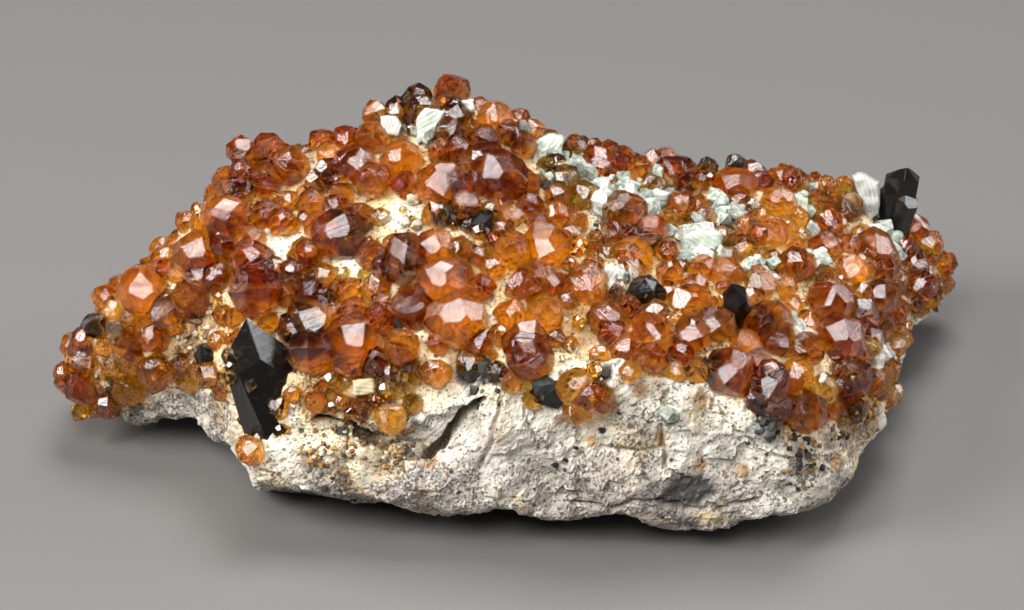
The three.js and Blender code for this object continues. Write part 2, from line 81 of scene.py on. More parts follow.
camera_data = bpy.data.cameras.new("standpoint")
camera_data.sensor_width = SENSOR
camera_data.lens = focal * SENSOR / PICTURE_WIDTH
camera_data.clip_start = 0.01
camera = bpy.data.objects.new("standpoint", camera_data)
bpy.context.scene.collection.objects.link(camera)
camera.location = to_metres(eye)
camera.rotation_euler = (math.pi / 2 - VIEW_ELEVATION, 0.0, 0.0)
bpy.context.scene.camera = camera


def sight_line(across, down):
    """The unit vector from the eye through a place in the picture: look plus the two offsets."""
    line = look + right * (across - VIEW_CENTRE[0]) / focal + up * (VIEW_CENTRE[1] - down) / focal
    return line / np.linalg.norm(line)


def shows_at(points):
    """Where points show in the view: across and down, from their depth along the look."""
    offset = np.asarray(points, float) - eye
    depth = offset @ look
    return np.stack([VIEW_CENTRE[0] + focal * (offset @ right) / depth,
                     VIEW_CENTRE[1] - focal * (offset @ up) / depth], -1)


print("lens", round(camera_data.lens, 1), "mm at", round(VIEW_DISTANCE), "mm")

# %% [markdown]
# ## The plate
# The matrix is a broken slab of rock: undercut at the front, a ledge with a dark slot above it, and a
# crust side that climbs to a crooked rim. It could be sculpted, but a loft through listed sections
# keeps the whole form in one small table. A place on the plate is then a function of two numbers, how
# far along the plate and how far round its section.

# %% Sections of the plate
# One row per section: x, then [y, z] round it: under the front, front edge, bulge, ledge, notch,
# lip, two points up the slope, rim, back and heel.
STATIONS = [
    [-48.8, [27.5, 4.4], [25.5, 5], [25, 5.8], [25, 6.8], [25.3, 7.8], [26, 8.6],
     [27, 9.2], [28.3, 9.5], [30, 9.3], [32.5, 7.5], [31, 4.8]],
    [-45.5, [27, 3], [23.8, 4], [23, 6.4], [23, 8.8], [23.4, 11], [24, 12.6],
     [25.2, 14.2], [27, 15], [30, 15], [35, 10.5], [33.5, 3.8]],
    [-40, [27, 2.4], [22.5, 4], [21.6, 7.6], [21.8, 10.8], [22.1, 13.2], [22.8, 15.2],
     [24.2, 17.3], [26.5, 18.5], [30, 18.5], [38, 12.5], [35.5, 3]],
    [-35, [28, 1.8], [21.3, 4.8], [20.4, 8.8], [20.3, 12.2], [20.6, 15], [21.5, 17.5],
     [24, 21], [27.5, 23.3], [32, 24.2], [41, 15.5], [38.5, 2]],
    [-31, [24, 1], [15.5, 5.4], [14.8, 9.5], [15, 12.5], [15.4, 14.8], [16.2, 17],
     [20.5, 21.5], [27, 25.5], [35, 28], [44, 17], [42, 0.6]],
    [-27.8, [14, 0], [4.6, 6.4], [4, 8.8], [4.4, 10.8], [6.5, 11.6], [8, 13.5],
     [13.5, 18.5], [23, 24.7], [36, 29], [46, 17.5], [44, 0]],
    [-23, [13, 0], [3, 6.8], [2.6, 9], [3, 12.2], [6.8, 12.2], [7.2, 13.8],
     [12, 18.5], [22, 25.2], [36, 30], [46.5, 18], [45, 0]],
    [-17, [12, 0], [2.2, 6], [2.1, 8.6], [2.8, 12], [7, 12], [6.2, 13.8],
     [11, 19], [21.5, 26.5], [35.5, 32.6], [47, 19], [45.5, 0]],
    [-12, [11.5, 0], [2.2, 5.4], [2, 7.8], [3, 10.8], [6.5, 10.9], [4.6, 14],
     [8.5, 20], [21, 28.6], [36, 35.2], [47, 20], [46, 0]],
    [-7, [11, 0], [2.2, 5.2], [2, 7.6], [2.8, 10.2], [4.8, 10.8], [2.6, 17],
     [8, 23], [21, 30.4], [37, 36.4], [47.5, 20], [46, 0]],
    [-1, [10.5, 0], [2, 4.9], [1.8, 8], [1.6, 12], [1.9, 15.5], [2.8, 20],
     [9.5, 24.3], [22, 29.2], [38, 33.4], [48, 18], [46, 0]],
    [6, [9.5, 0], [1.4, 4], [1.1, 8], [1.2, 12], [1.8, 15.5], [3, 21],
     [11, 24], [24, 27.2], [39.5, 29.6], [48.5, 16], [46.5, 0]],
    [14, [9.5, 0], [0.9, 4.5], [0.8, 8], [1, 13], [1.4, 17], [2.4, 21.8],
     [11.5, 23], [25.5, 25], [41, 26.4], [49, 15], [47, 0]],
    [21, [8.5, 0], [0.9, 3.4], [0.7, 8], [0.9, 12.5], [1.3, 16.5], [2.2, 20.6],
     [10.5, 22], [26, 23.2], [43, 24], [50, 14], [47.5, 0]],
    [27, [10.5, 0], [1.2, 4.4], [1.1, 7.2], [1.3, 10.5], [1.9, 13.8], [2.8, 17],
     [9.5, 20.5], [26, 22], [44.8, 22.8], [50.5, 13], [48, 0]],
    [32.5, [13, 0], [3, 5], [2.8, 6.8], [2.9, 8.8], [3.3, 11], [4, 13.4],
     [10, 17.6], [26, 20.5], [46.5, 21], [51.5, 12], [49, 0]],
    [37, [19, 0.3], [9.5, 6.6], [9.1, 7.8], [9.1, 9], [9.4, 10.3], [9.8, 11.7],
     [14.5, 15.2], [28, 18.5], [47.5, 19], [52, 11], [50, 0.3]],
    [40, [26, 1], [16, 6.8], [15.7, 7.8], [15.8, 8.8], [16.2, 9.7], [16.8, 10.6],
     [21, 13.5], [31, 16.8], [48.5, 17.4], [52.5, 10], [51, 0.8]],
    [42, [33, 1.8], [26, 6.2], [25.8, 7.1], [25.9, 8], [26.2, 8.9], [26.8, 9.8],
     [30, 12.3], [37, 15], [49, 15.8], [53, 9.3], [51.4, 1.3]],
    [44, [40, 2.2], [35.6, 5.8], [35.4, 6.6], [35.6, 7.4], [36, 8.3], [36.7, 9.2],
     [39, 11.4], [43, 13.6], [49.4, 14.4], [53.4, 8.6], [51.8, 1.8]],
    [47, [45, 2.8], [41.4, 5.6], [41.2, 6.4], [41.4, 7.1], [41.8, 7.9], [42.4, 8.7],
     [44, 10.2], [46.5, 11.6], [50.2, 11.9], [53.6, 7.6], [52.2, 2.4]],
    [49.4, [48, 3.8], [45.6, 5.3], [45.5, 5.9], [45.7, 6.4], [46, 7], [46.6, 7.6],
     [47.7, 8.4], [49.2, 9], [51.1, 9], [53.2, 6.7], [52, 3.8]],
    [51, [49.5, 5], [49, 5.4], [48.9, 5.7], [49, 6], [49.2, 6.3], [49.5, 6.6],
     [50, 6.9], [50.7, 7.1], [51.4, 7], [52.1, 6], [51.4, 5]],
]
station_x = np.array([row[0] for row in STATIONS], float)
rings = np.array([row[1:] for row in STATIONS], float)
# Places round a section, by their number in a row.
LIP, RIM = 5, 8
print("sections:", len(STATIONS), "with", rings.shape[1], "places round each")

# %% [markdown]
# ## The plate as a surface of two numbers
# A place along the plate and a place round its section give one point of the loft. Two sets of low
# lumps are pushed out of it, because a straight loft looks sawn. The same lumps are in the solid, so
# the coarse skin made here is the solid's own, and it catches the crystals that are set on it.

# %% Coarse skin
SECTION_STEP = 3.6
COARSE_STEPS = [2, 1, 1, 1, 2, 2, 2, 3, 3, 3, 1]
# Height and width of each set of lumps, and the height over which they fade in.
LUMPS = [(0.7, 17.0), (0.45, 9.0)]
LUMP_FADE = 3.0
ON_THE_CUT = 0.01


def smoothstep(value, low, high):
    """0 below low, 1 above high, and an S curve between."""
    share = np.clip((value - low) / (high - low), 0, 1)
    return share * share * (3 - 2 * share)


def even_places(counts):
    """Place k is followed by as many equal parts as its count says: k, k + 1/n, k + 2/n and on."""
    return np.concatenate([k + np.arange(n) / n for k, n in enumerate(counts)])


def section_places(step):
    """Places along the plate, with rows about one step apart in millimetres, and the last section."""
    counts = np.maximum(1, np.round(np.diff(station_x) / step)).astype(int)
    return np.append(even_places(counts), len(STATIONS) - 1.0)


def plate_grid(along, around):
    """Points of the bare loft. Sections are mixed straight between stations, and each side of a ring
    is a straight line, so place (s, t) is a mix of four table points."""
    s = np.clip(np.floor(along).astype(int), 0, len(STATIONS) - 2)
    ds = (along - s)[:, None]
    t = np.floor(around).astype(int) % rings.shape[1]
    dt = (around - np.floor(around))[None, :, None]
    after = (t + 1) % rings.shape[1]
    low = rings[s][:, t] * (1 - dt) + rings[s][:, after] * dt
    high = rings[s + 1][:, t] * (1 - dt) + rings[s + 1][:, after] * dt
    yz = low * (1 - ds[:, :, None]) + high * ds[:, :, None]
    x = (station_x[s] * (1 - ds[:, 0]) + station_x[s + 1] * ds[:, 0])[:, None, None]
    return np.concatenate([np.broadcast_to(x, yz.shape[:2] + (1,)), yz], axis=2)


def grid_faces(rows, columns):
    """Quads of a grid that closes on itself round each section."""
    r, c = np.meshgrid(np.arange(rows - 1), np.arange(columns), indexing="ij")
    a = r * columns + c
    b = r * columns + (c + 1) % columns
    return np.stack([a, a + columns, b + columns, b], axis=2).reshape(-1, 4)


def grid_normals(grid):
    """Cross product of the step round the section with the step along the plate, made unit length."""
    around = np.roll(grid, -1, axis=1) - np.roll(grid, 1, axis=1)
    along = np.gradient(grid, axis=0)
    normal = np.cross(along, around)
    return normal / (np.linalg.norm(normal, axis=2, keepdims=True) + 1e-9)


def lump_height(p):
    """Two sets of crossed sine waves, faded in over the first millimetres above the flat cut."""
    x, y, z = p[..., 0], p[..., 1], p[..., 2]
    total = 0
    for height, width in LUMPS:
        k = 2 * math.pi / width
        broad = np.sin(k * (x + 0.4 * z) + 1) * np.sin(k * (1.1 * y - 0.3 * x) + 2)
        cross = np.sin(1.25 * k * (z + 0.35 * y) + 0.5) * np.cos(0.77 * k * x)
        total = total + height * (broad + 0.6 * cross)
    return total * smoothstep(z, 0.2, LUMP_FADE)


def with_lumps(grid):
    """The loft pushed out along its normals by the lumps, and never below the cut."""
    high = grid + grid_normals(grid) * lump_height(grid)[..., None] * (grid[..., 2:] > ON_THE_CUT)
    high[..., 2] = np.maximum(high[..., 2], 0)
    return high


coarse = with_lumps(plate_grid(section_places(SECTION_STEP), even_places(COARSE_STEPS)))
coarse_faces = grid_faces(*coarse.shape[:2])
rock_tree = BVHTree.FromPolygons(coarse.reshape(-1, 3).tolist(), coarse_faces.tolist())
print("coarse skin:", coarse.shape[0], "rows of", coarse.shape[1], "points")

# %% [markdown]
# ## Roughness without randomness
# Broken rock is rough at every size. Noise gives that: fixed numbers on a grid of cubes, mixed
# smoothly between. The numbers come from each cube's own place, so every run gives the same rock.
# Chips are a second kind of roughness. Each small cell of the rock is cut by its own tilted plane.

# %% Noise and chips
def lattice(i, j, k, seed):
    """A fixed number from 0 to 1 for each whole-number place, by mixing the bits of the three."""
    n = (i * 374761393 + j * 668265263 + k * 1442695041 + seed * 974634777) & 0xFFFFFFFF
    n = ((n ^ (n >> 13)) * 1274126177) & 0xFFFFFFFF
    n = ((n ^ (n >> 15)) * 2246822519) & 0xFFFFFFFF
    return ((n ^ (n >> 16)) & 0xFFFF) / 65535.0


CORNERS = [(a, b, c) for a in (0, 1) for b in (0, 1) for c in (0, 1)]
AROUND = [(a, b, c) for a in (-1, 0, 1) for b in (-1, 0, 1) for c in (-1, 0, 1)]


def noise(p, width, seed=0):
    """Value noise from -1 to 1: the eight corner numbers of a point's cube, mixed by S curves."""
    q = np.asarray(p, float) / width
    base = np.floor(q).astype(np.int64)
    f = q - base
    f = f * f * (3 - 2 * f)
    total = 0
    for corner in CORNERS:
        share = np.prod(np.where(corner, f, 1 - f), axis=-1)
        total = total + share * lattice(*np.moveaxis(base + corner, -1, 0), seed)
    return total * 2 - 1


def layered(p, width, layers, seed=0):
    """Noise added to itself at half the width and 0.55 of the height, several times."""
    return sum(0.55 ** n * noise(p, width / 2 ** n, seed + n) for n in range(layers))


def chips(p, width, seed=0):
    """The nearest scattered cell point's own tilted plane: offset from the point, dotted with a
    random direction. It jumps from cell to cell, as a chipped face does."""
    q = np.asarray(p, float) / width
    base = np.floor(q).astype(np.int64)
    best = np.full(q.shape[:-1], 9.0)
    value = np.zeros(q.shape[:-1])
    for step in AROUND:
        cell = base + step
        ids = np.moveaxis(cell, -1, 0)
        offset = q - cell - np.stack([lattice(*ids, seed + n) for n in range(3)], -1)
        tilt = np.stack([lattice(*ids, seed + 5 + n) for n in range(3)], -1) * 2 - 1
        far = np.sum(offset ** 2, -1)
        nearer = far < best
        best = np.where(nearer, far, best)
        value = np.where(nearer, np.sum(offset * tilt, -1), value)
    return value * width


# %% [markdown]
# ## Putting a shape into Blender
# A mesh is three lists: the points, the corners of all faces one after the other, and where each
# face starts in that list. foreach_set copies them in at once, which is quick for a million numbers.

# %% From arrays to an object
def make_piece(name, points, corners, starts, materials, which=0, smooth=True, values=None):
    """Makes an object at the origin from points in specimen millimetres. which gives each face its
    material, and values holds numbers or colours for the points, by attribute name."""
    mesh = bpy.data.meshes.new(name)
    mesh.vertices.add(len(points))
    mesh.vertices.foreach_set("co", to_metres(points).astype(np.float32).ravel())
    mesh.loops.add(len(corners))
    mesh.loops.foreach_set("vertex_index", np.asarray(corners, np.int32))
    mesh.polygons.add(len(starts))
    mesh.polygons.foreach_set("loop_start", np.asarray(starts, np.int32))
    mesh.update(calc_edges=True)
    for material in materials:
        mesh.materials.append(material)
    chosen = np.broadcast_to(which, len(starts)).astype(np.int32)
    mesh.polygons.foreach_set("material_index", np.ascontiguousarray(chosen))
    shaded = np.broadcast_to(smooth, len(starts)).astype(bool)
    mesh.polygons.foreach_set("use_smooth", np.ascontiguousarray(shaded))
    for key, data in (values or {}).items():
        data = np.asarray(data, np.float32)
        if data.ndim == 1:
            layer = mesh.attributes.new(key, "FLOAT", "POINT")
            layer.data.foreach_set("value", data)
        else:
            layer = mesh.attributes.new(key, "FLOAT_COLOR", "POINT")
            solid = np.concatenate([data, np.ones((len(data), 1), np.float32)], 1)
            layer.data.foreach_set("color", solid.ravel())
    mesh.validate()
    piece = bpy.data.objects.new(name, mesh)
    bpy.context.scene.collection.objects.link(piece)
    return piece


# %% [markdown]
# ## A closer grid, with worn creases
# The fine skin is the same function of two numbers, on a closer grid. The loft leaves a crease at each
# section, so the grid is worn down first by averaging each point with its neighbours.

# %% Closer grid
ROW_STEP = 0.29
FINE_STEPS = [14, 10, 10, 10, 16, 26, 40, 40, 28, 22, 14]
WEAR_ROUNDS = 6
fine_around = even_places(FINE_STEPS)


def worn(grid, times):
    """Each point becomes half itself and a quarter of each neighbour, both ways, above the cut."""
    free = grid[..., 2:] > ON_THE_CUT
    for _ in range(times):
        ringed = 0.5 * grid + 0.25 * (np.roll(grid, 1, 1) + np.roll(grid, -1, 1))
        rows = ringed.copy()
        rows[1:-1] = 0.5 * ringed[1:-1] + 0.25 * (ringed[2:] + ringed[:-2])
        grid = np.where(free, rows, grid)
    return grid


fine = worn(with_lumps(plate_grid(section_places(ROW_STEP), fine_around)), WEAR_ROUNDS)
print("fine skin:", fine.shape[0], "by", fine.shape[1])

# %% [markdown]
# ## Cracks and the groove under the ledge
# The broken face has cracks, and one deep groove opens under the ledge. Each could be carved with a
# brush. Here each is a bent line in the view, and the rock sinks by its distance from that line, so a
# crack stays where it is when the grid changes.

# %% Lines of the cracks
# Line in the view, half width in the view, depth in mm.
CRACKS = [
    ([(316, 416), (345, 426), (372, 436), (398, 449), (425, 455), (440, 447), (452, 431), (463, 414),
      (480, 401)], 6.5, 2.4),
    ([(502, 396), (496, 418), (492, 440), (478, 470)], 3.0, 0.55),
    ([(262, 470), (285, 479), (302, 492)], 2.6, 0.5),
    ([(524, 404), (531, 428), (540, 452)], 2.6, 0.45),
    ([(668, 392), (661, 428), (666, 468), (690, 480)], 3.0, 0.6),
    ([(575, 500), (610, 508), (650, 498), (700, 510), (760, 500)], 2.6, 0.5),
    ([(735, 430), (760, 452), (792, 462), (805, 490)], 3.0, 0.55),
    ([(600, 445), (640, 452), (668, 446)], 2.4, 0.4),
]


def line_distance(places, line):
    """Distance in the view from each place to the nearest point of a bent line."""
    best = np.full(places.shape[:-1], 1e9)
    for start, end in zip(np.array(line[:-1], float), np.array(line[1:], float)):
        run = end - start
        share = np.clip(((places - start) @ run) / (run @ run), 0, 1)
        best = np.minimum(best, np.linalg.norm(places - start - share[..., None] * run, axis=-1))
    return best


print("cracks:", len(CRACKS), "the deepest", max(row[2] for row in CRACKS), "mm")

# %% [markdown]
# ## The rough skin
# Noise, chips and cracks add up to one height at each point, and the point moves by it along the
# normal. All of it fades away at the flat cut, so the specimen still rests on it. The depth of the
# cracks is kept for the colours, which darken the cracks by it as painted shadow.

# %% Fine skin
# Height and width in mm of the broad noise, the two sizes of chip and the finest noise.
BROAD_NOISE, FINE_NOISE = (0.42, 6.0), (0.07, 0.5)
LARGE_CHIPS, SMALL_CHIPS = (0.16, 2.6), (0.15, 1.1)
SKIN_FADE = 1.6
CRACK_WANDER = 3.0
WANDER_WIDTH = 1.6
FULL_SHADOW_DEPTH = 1.2
fade = smoothstep(fine[..., 2], 0.0, SKIN_FADE)
rough = (BROAD_NOISE[0] * layered(fine, BROAD_NOISE[1], 4, 3)
         + LARGE_CHIPS[0] * chips(fine, LARGE_CHIPS[1], 11)
         + SMALL_CHIPS[0] * chips(fine, SMALL_CHIPS[1], 23)
         + FINE_NOISE[0] * noise(fine, FINE_NOISE[1], 31))
facing = smoothstep(-(grid_normals(fine) @ look), 0.05, 0.3)
wander = np.stack([noise(fine, WANDER_WIDTH, 61), noise(fine, WANDER_WIDTH, 62)], -1)
places = shows_at(fine) + CRACK_WANDER * wander
shadow = np.zeros(fine.shape[:2])
for line, half_width, deep in CRACKS:
    cut = smoothstep(1 - line_distance(places, line) / half_width, 0, 0.8) * facing
    rough = rough - deep * cut
    shadow = np.maximum(shadow, cut * min(1.0, deep / FULL_SHADOW_DEPTH))
fine = fine + grid_normals(fine) * (rough * fade)[..., None]
fine[..., 2] = np.maximum(fine[..., 2], 0)
fine_flat = fine.reshape(-1, 3)
fine_faces = grid_faces(*fine.shape[:2])
fine_tree = BVHTree.FromPolygons(fine_flat.tolist(), fine_faces.tolist())
print("roughness from", round(float(rough.min()), 2), "to", round(float(rough.max()), 2), "mm")

# %% [markdown]
# ## Seats on the rock
# A crystal is carried from its place in the view to the rock along the line of sight. Just off the
# rock's outline there is nothing to meet, so it takes the depth of the nearest rock beside it. Stains
# are placed the same way, as round spots on the fine skin with a noisy border.

# %% Meeting the rock
# Ways to look for rock beside a place, how far apart the tries are in the view, and how many.
SEARCH = [(0, 0), (0, 1), (1, 0), (-1, 0), (0, -1), (1, 1), (-1, 1)]
SEARCH_STEP = 4
SEARCH_REACH = 10


def rock_at(across, down, tree=rock_tree):
    """Point, outward normal and line of sight where a place in the view meets the rock."""
    wanted = sight_line(across, down)
    for reach in range(SEARCH_REACH + 1):
        for sx, sy in SEARCH:
            shift = reach * SEARCH_STEP
            line = sight_line(across + sx * shift, down + sy * shift)
            hit, normal, _, distance = tree.ray_cast(Vector(eye), Vector(line))
            if hit is not None:
                return eye + wanted * distance, np.array(normal), wanted
    raise ValueError(f"no rock near {across}, {down}")


def spot_mask(points, spots):
    """1 in the middle of the nearest spot, 0 at its edge, with a noisy border.
    Spots are (across, down, radius in the view)."""
    mask = np.zeros(points.shape[:-1])
    wander = 1 + 0.35 * noise(points, 2.2, 71) + 0.2 * noise(points, 0.8, 73)
    for across, down, radius in spots:
        middle, _, _ = rock_at(across, down, fine_tree)
        far = np.linalg.norm(points - middle, axis=-1) * PIXELS_PER_MM / radius
        mask = np.maximum(mask, smoothstep(1.25 - far * wander, 0.0, 0.5))
    return mask


print("the middle of the view meets the rock at", np.round(rock_at(*VIEW_CENTRE)[0], 1))

# %% [markdown]
# ## The colours of the rock
# The feldspar is cream to white where the crust grew and greyer, with a violet cast, where it broke;
# the grey of the lower front is partly that colour and partly painted shade.
# Iron has stained it ochre near the garnets and at the right end, and greenish mica lies in patches.
# Each stain is a list of round spots: across, down and radius in the view. The last four slate
# spots, along the groove under the ledge, are painted shadow.

# %% Rock colours and their spots
WHITE = np.array([0.90, 0.87, 0.77])
CREAM = np.array([0.92, 0.82, 0.58])
GREY = np.array([0.56, 0.505, 0.475])
OCHRE = np.array([0.50, 0.25, 0.055])
BROWN = np.array([0.16, 0.085, 0.035])
SLATE = np.array([0.05, 0.05, 0.05])
SAGE = np.array([0.50, 0.55, 0.49])
MOSS = np.array([0.20, 0.21, 0.17])
AMBER = np.array([0.84, 0.60, 0.29])

CREAM_SPOTS = [
    (285, 465, 34), (345, 440, 44), (365, 388, 20), (430, 385, 24), (403, 300, 22), (412, 335, 20),
    (518, 380, 34), (262, 480, 18), (920, 312, 26), (240, 405, 14), (350, 262, 12), (372, 275, 10),
    (392, 300, 12), (402, 330, 12), (412, 352, 12), (330, 500, 24),
]
WHITE_SPOTS = [
    (400, 212, 22), (285, 250, 26), (105, 303, 14), (133, 309, 16), (345, 265, 16), (552, 425, 42),
    (660, 372, 30), (655, 415, 30), (665, 450, 24), (485, 320, 12), (458, 430, 28), (795, 332, 12),
    (180, 400, 26), (604, 330, 22), (700, 385, 26), (740, 420, 22), (620, 400, 22), (760, 455, 20),
    (300, 480, 26), (283, 460, 16), (720, 450, 22), (800, 478, 16), (660, 200, 12), (615, 205, 10),
    (757, 275, 12), (812, 265, 12),
]
OCHRE_SPOTS = [
    (862, 412, 34), (940, 286, 20), (577, 325, 26), (405, 280, 12), (360, 405, 16), (418, 372, 12),
    (272, 488, 5), (293, 497, 4), (232, 340, 14), (190, 330, 16), (325, 400, 22), (880, 385, 18),
    (845, 428, 16), (700, 465, 8), (430, 462, 9), (848, 442, 14), (866, 424, 14), (836, 462, 10),
    (818, 420, 11), (790, 416, 9), (640, 392, 9), (700, 402, 8), (612, 406, 8), (660, 438, 7),
    (592, 442, 7), (742, 470, 7), (560, 420, 6),
]
BROWN_SPOTS = [
    (210, 320, 12), (195, 350, 14), (310, 462, 12), (340, 456, 10), (375, 455, 16), (430, 450, 10),
    (345, 480, 8), (325, 490, 6), (830, 440, 12), (800, 450, 10),
]
# Dark hornblende and mica; the last four spots, along the groove under the ledge, are painted shadow.
SLATE_SPOTS = [
    (678, 493, 18), (692, 490, 18), (668, 495, 12), (704, 489, 10), (764, 418, 10), (606, 372, 8),
    (470, 374, 14), (486, 372, 14), (492, 370, 9), (715, 365, 8), (794, 428, 5), (668, 418, 8),
    (450, 215, 10), (482, 222, 12), (345, 432, 9), (365, 444, 8), (385, 449, 8), (405, 451, 7),
]
GREY_SPOTS = [
    (480, 470, 40), (540, 470, 46), (600, 480, 40), (640, 500, 30), (430, 478, 30), (740, 500, 26),
]
MOSS_SPOTS = [
    (790, 440, 15), (800, 468, 15), (816, 452, 12), (826, 436, 10), (690, 358, 12), (715, 372, 12),
    (648, 372, 12), (764, 418, 12), (405, 412, 17), (385, 405, 12), (425, 420, 12), (500, 385, 9),
    (470, 388, 10), (345, 482, 7), (575, 452, 12), (610, 440, 10), (640, 462, 12), (560, 485, 12),
]
SAGE_SPOTS = [
    (600, 195, 26), (650, 200, 24), (705, 245, 30), (560, 175, 22), (430, 125, 18), (725, 215, 20),
    (800, 210, 18), (868, 200, 22), (880, 238, 22), (680, 225, 20),
]
print("spots of ochre:", len(OCHRE_SPOTS), "of brown:", len(BROWN_SPOTS), "of moss:", len(MOSS_SPOTS))

# %% [markdown]
# ## Painting the points
# The colours go into an attribute of the mesh, one colour at each point: first by how the rock faces,
# which greys the lower front partly as painted shade and greys what turns down or back as painted
# shade, and by broad noise, then spot by spot, and last the painted shadow of the cracks. A second
# attribute says how thickly the material sets its grains, which are too small for the mesh.

# %% Broad colours at each point
def toward(colours, target, mask):
    """Mixes the colours towards one target by the mask."""
    return colours + (target - colours) * mask[..., None]


height = fine_flat[:, 2]
normal_flat = grid_normals(fine).reshape(-1, 3)
broken = smoothstep(-normal_flat[:, 1], 0.25, 0.75) * smoothstep(-height, -13.0, -7.0)
under = smoothstep(-normal_flat[:, 2], 0.0, 0.6)
behind = smoothstep(normal_flat[:, 1], 0.15, 0.7)
cloudy = layered(fine_flat, 9.0, 3, 41)
ring_place = np.broadcast_to(fine_around, fine.shape[:2]).ravel()
above_back = smoothstep(-ring_place, -(RIM + 1.0), -(RIM + 0.4))
lobe = smoothstep(-fine_flat[:, 0], 30.0, 32.0) * smoothstep(ring_place, 2.6, 3.4)
crust_share = np.maximum(smoothstep(ring_place, LIP, LIP + 0.4), lobe) * above_back
paint = np.broadcast_to(WHITE, fine_flat.shape).copy()
paint = toward(paint, CREAM, smoothstep(cloudy, -0.1, 0.9) * 0.55)
# The lower front faces are greyed: partly the broken feldspar's own grey, partly painted shade.
paint = toward(paint, GREY, np.clip(broken * (0.55 + 0.5 * cloudy), 0, 0.85))
# Painted shade: faces that turn down, and those that turn back, are greyed.
paint = toward(paint, GREY * 0.9, np.maximum(under, behind) * 0.6)
paint = toward(paint, OCHRE, smoothstep(layered(fine_flat, 5.0, 3, 47), 0.45, 1.1) * 0.4 * (1 - broken))
paint = toward(paint, AMBER, crust_share * (0.75 + 0.25 * cloudy))
cream_spots = spot_mask(fine_flat, CREAM_SPOTS)
white_spots = spot_mask(fine_flat, WHITE_SPOTS)
for colour, mask, strength in ((GREY, spot_mask(fine_flat, GREY_SPOTS), 0.55),
                               (CREAM, cream_spots, 0.8), (WHITE, white_spots, 0.8),
                               (SAGE, spot_mask(fine_flat, SAGE_SPOTS), 0.7),
                               (OCHRE, spot_mask(fine_flat, OCHRE_SPOTS), 0.75),
                               (BROWN, spot_mask(fine_flat, BROWN_SPOTS), 0.6)):
    paint = toward(paint, colour, mask * strength)
moss = spot_mask(fine_flat, MOSS_SPOTS) * smoothstep(layered(fine_flat, 1.6, 3, 53), -0.5, 0.4)
paint = toward(paint, MOSS, moss * 0.62)
# Slate: dark minerals, and painted shadow in the groove under the ledge.
slate = spot_mask(fine_flat, SLATE_SPOTS)
paint = toward(paint, SLATE, slate * 0.95)
# Painted shadow: the cracks and the groove are darkened towards brown by their depth.
paint = toward(paint, BROWN * 0.7, shadow.ravel() * 0.75)
speckle = np.clip(0.35 + 0.65 * broken + 0.4 * cloudy, 0.15, 1)
speckle = np.clip(speckle + 0.6 * moss, 0, 1) * (1 - slate)
speckle = speckle * (1 - 0.45 * cream_spots) * (1 - 0.3 * white_spots)
print("mean rock colour:", np.round(paint.mean(0), 2))

# %% [markdown]
# ## A short way to write materials
# A material is a tree of nodes. Written out, each node takes a line to make, one for each setting and
# one for each link. This class makes a node and joins it in one call, so that a material reads like
# a sum. Patterns take the Object coordinates, in metres, so a scale is in repeats per metre.

# %% Nodes of a material
def rgba(colour):
    """A colour with a full last number, as sockets want it."""
    return (*[float(c) for c in colour], 1.0)


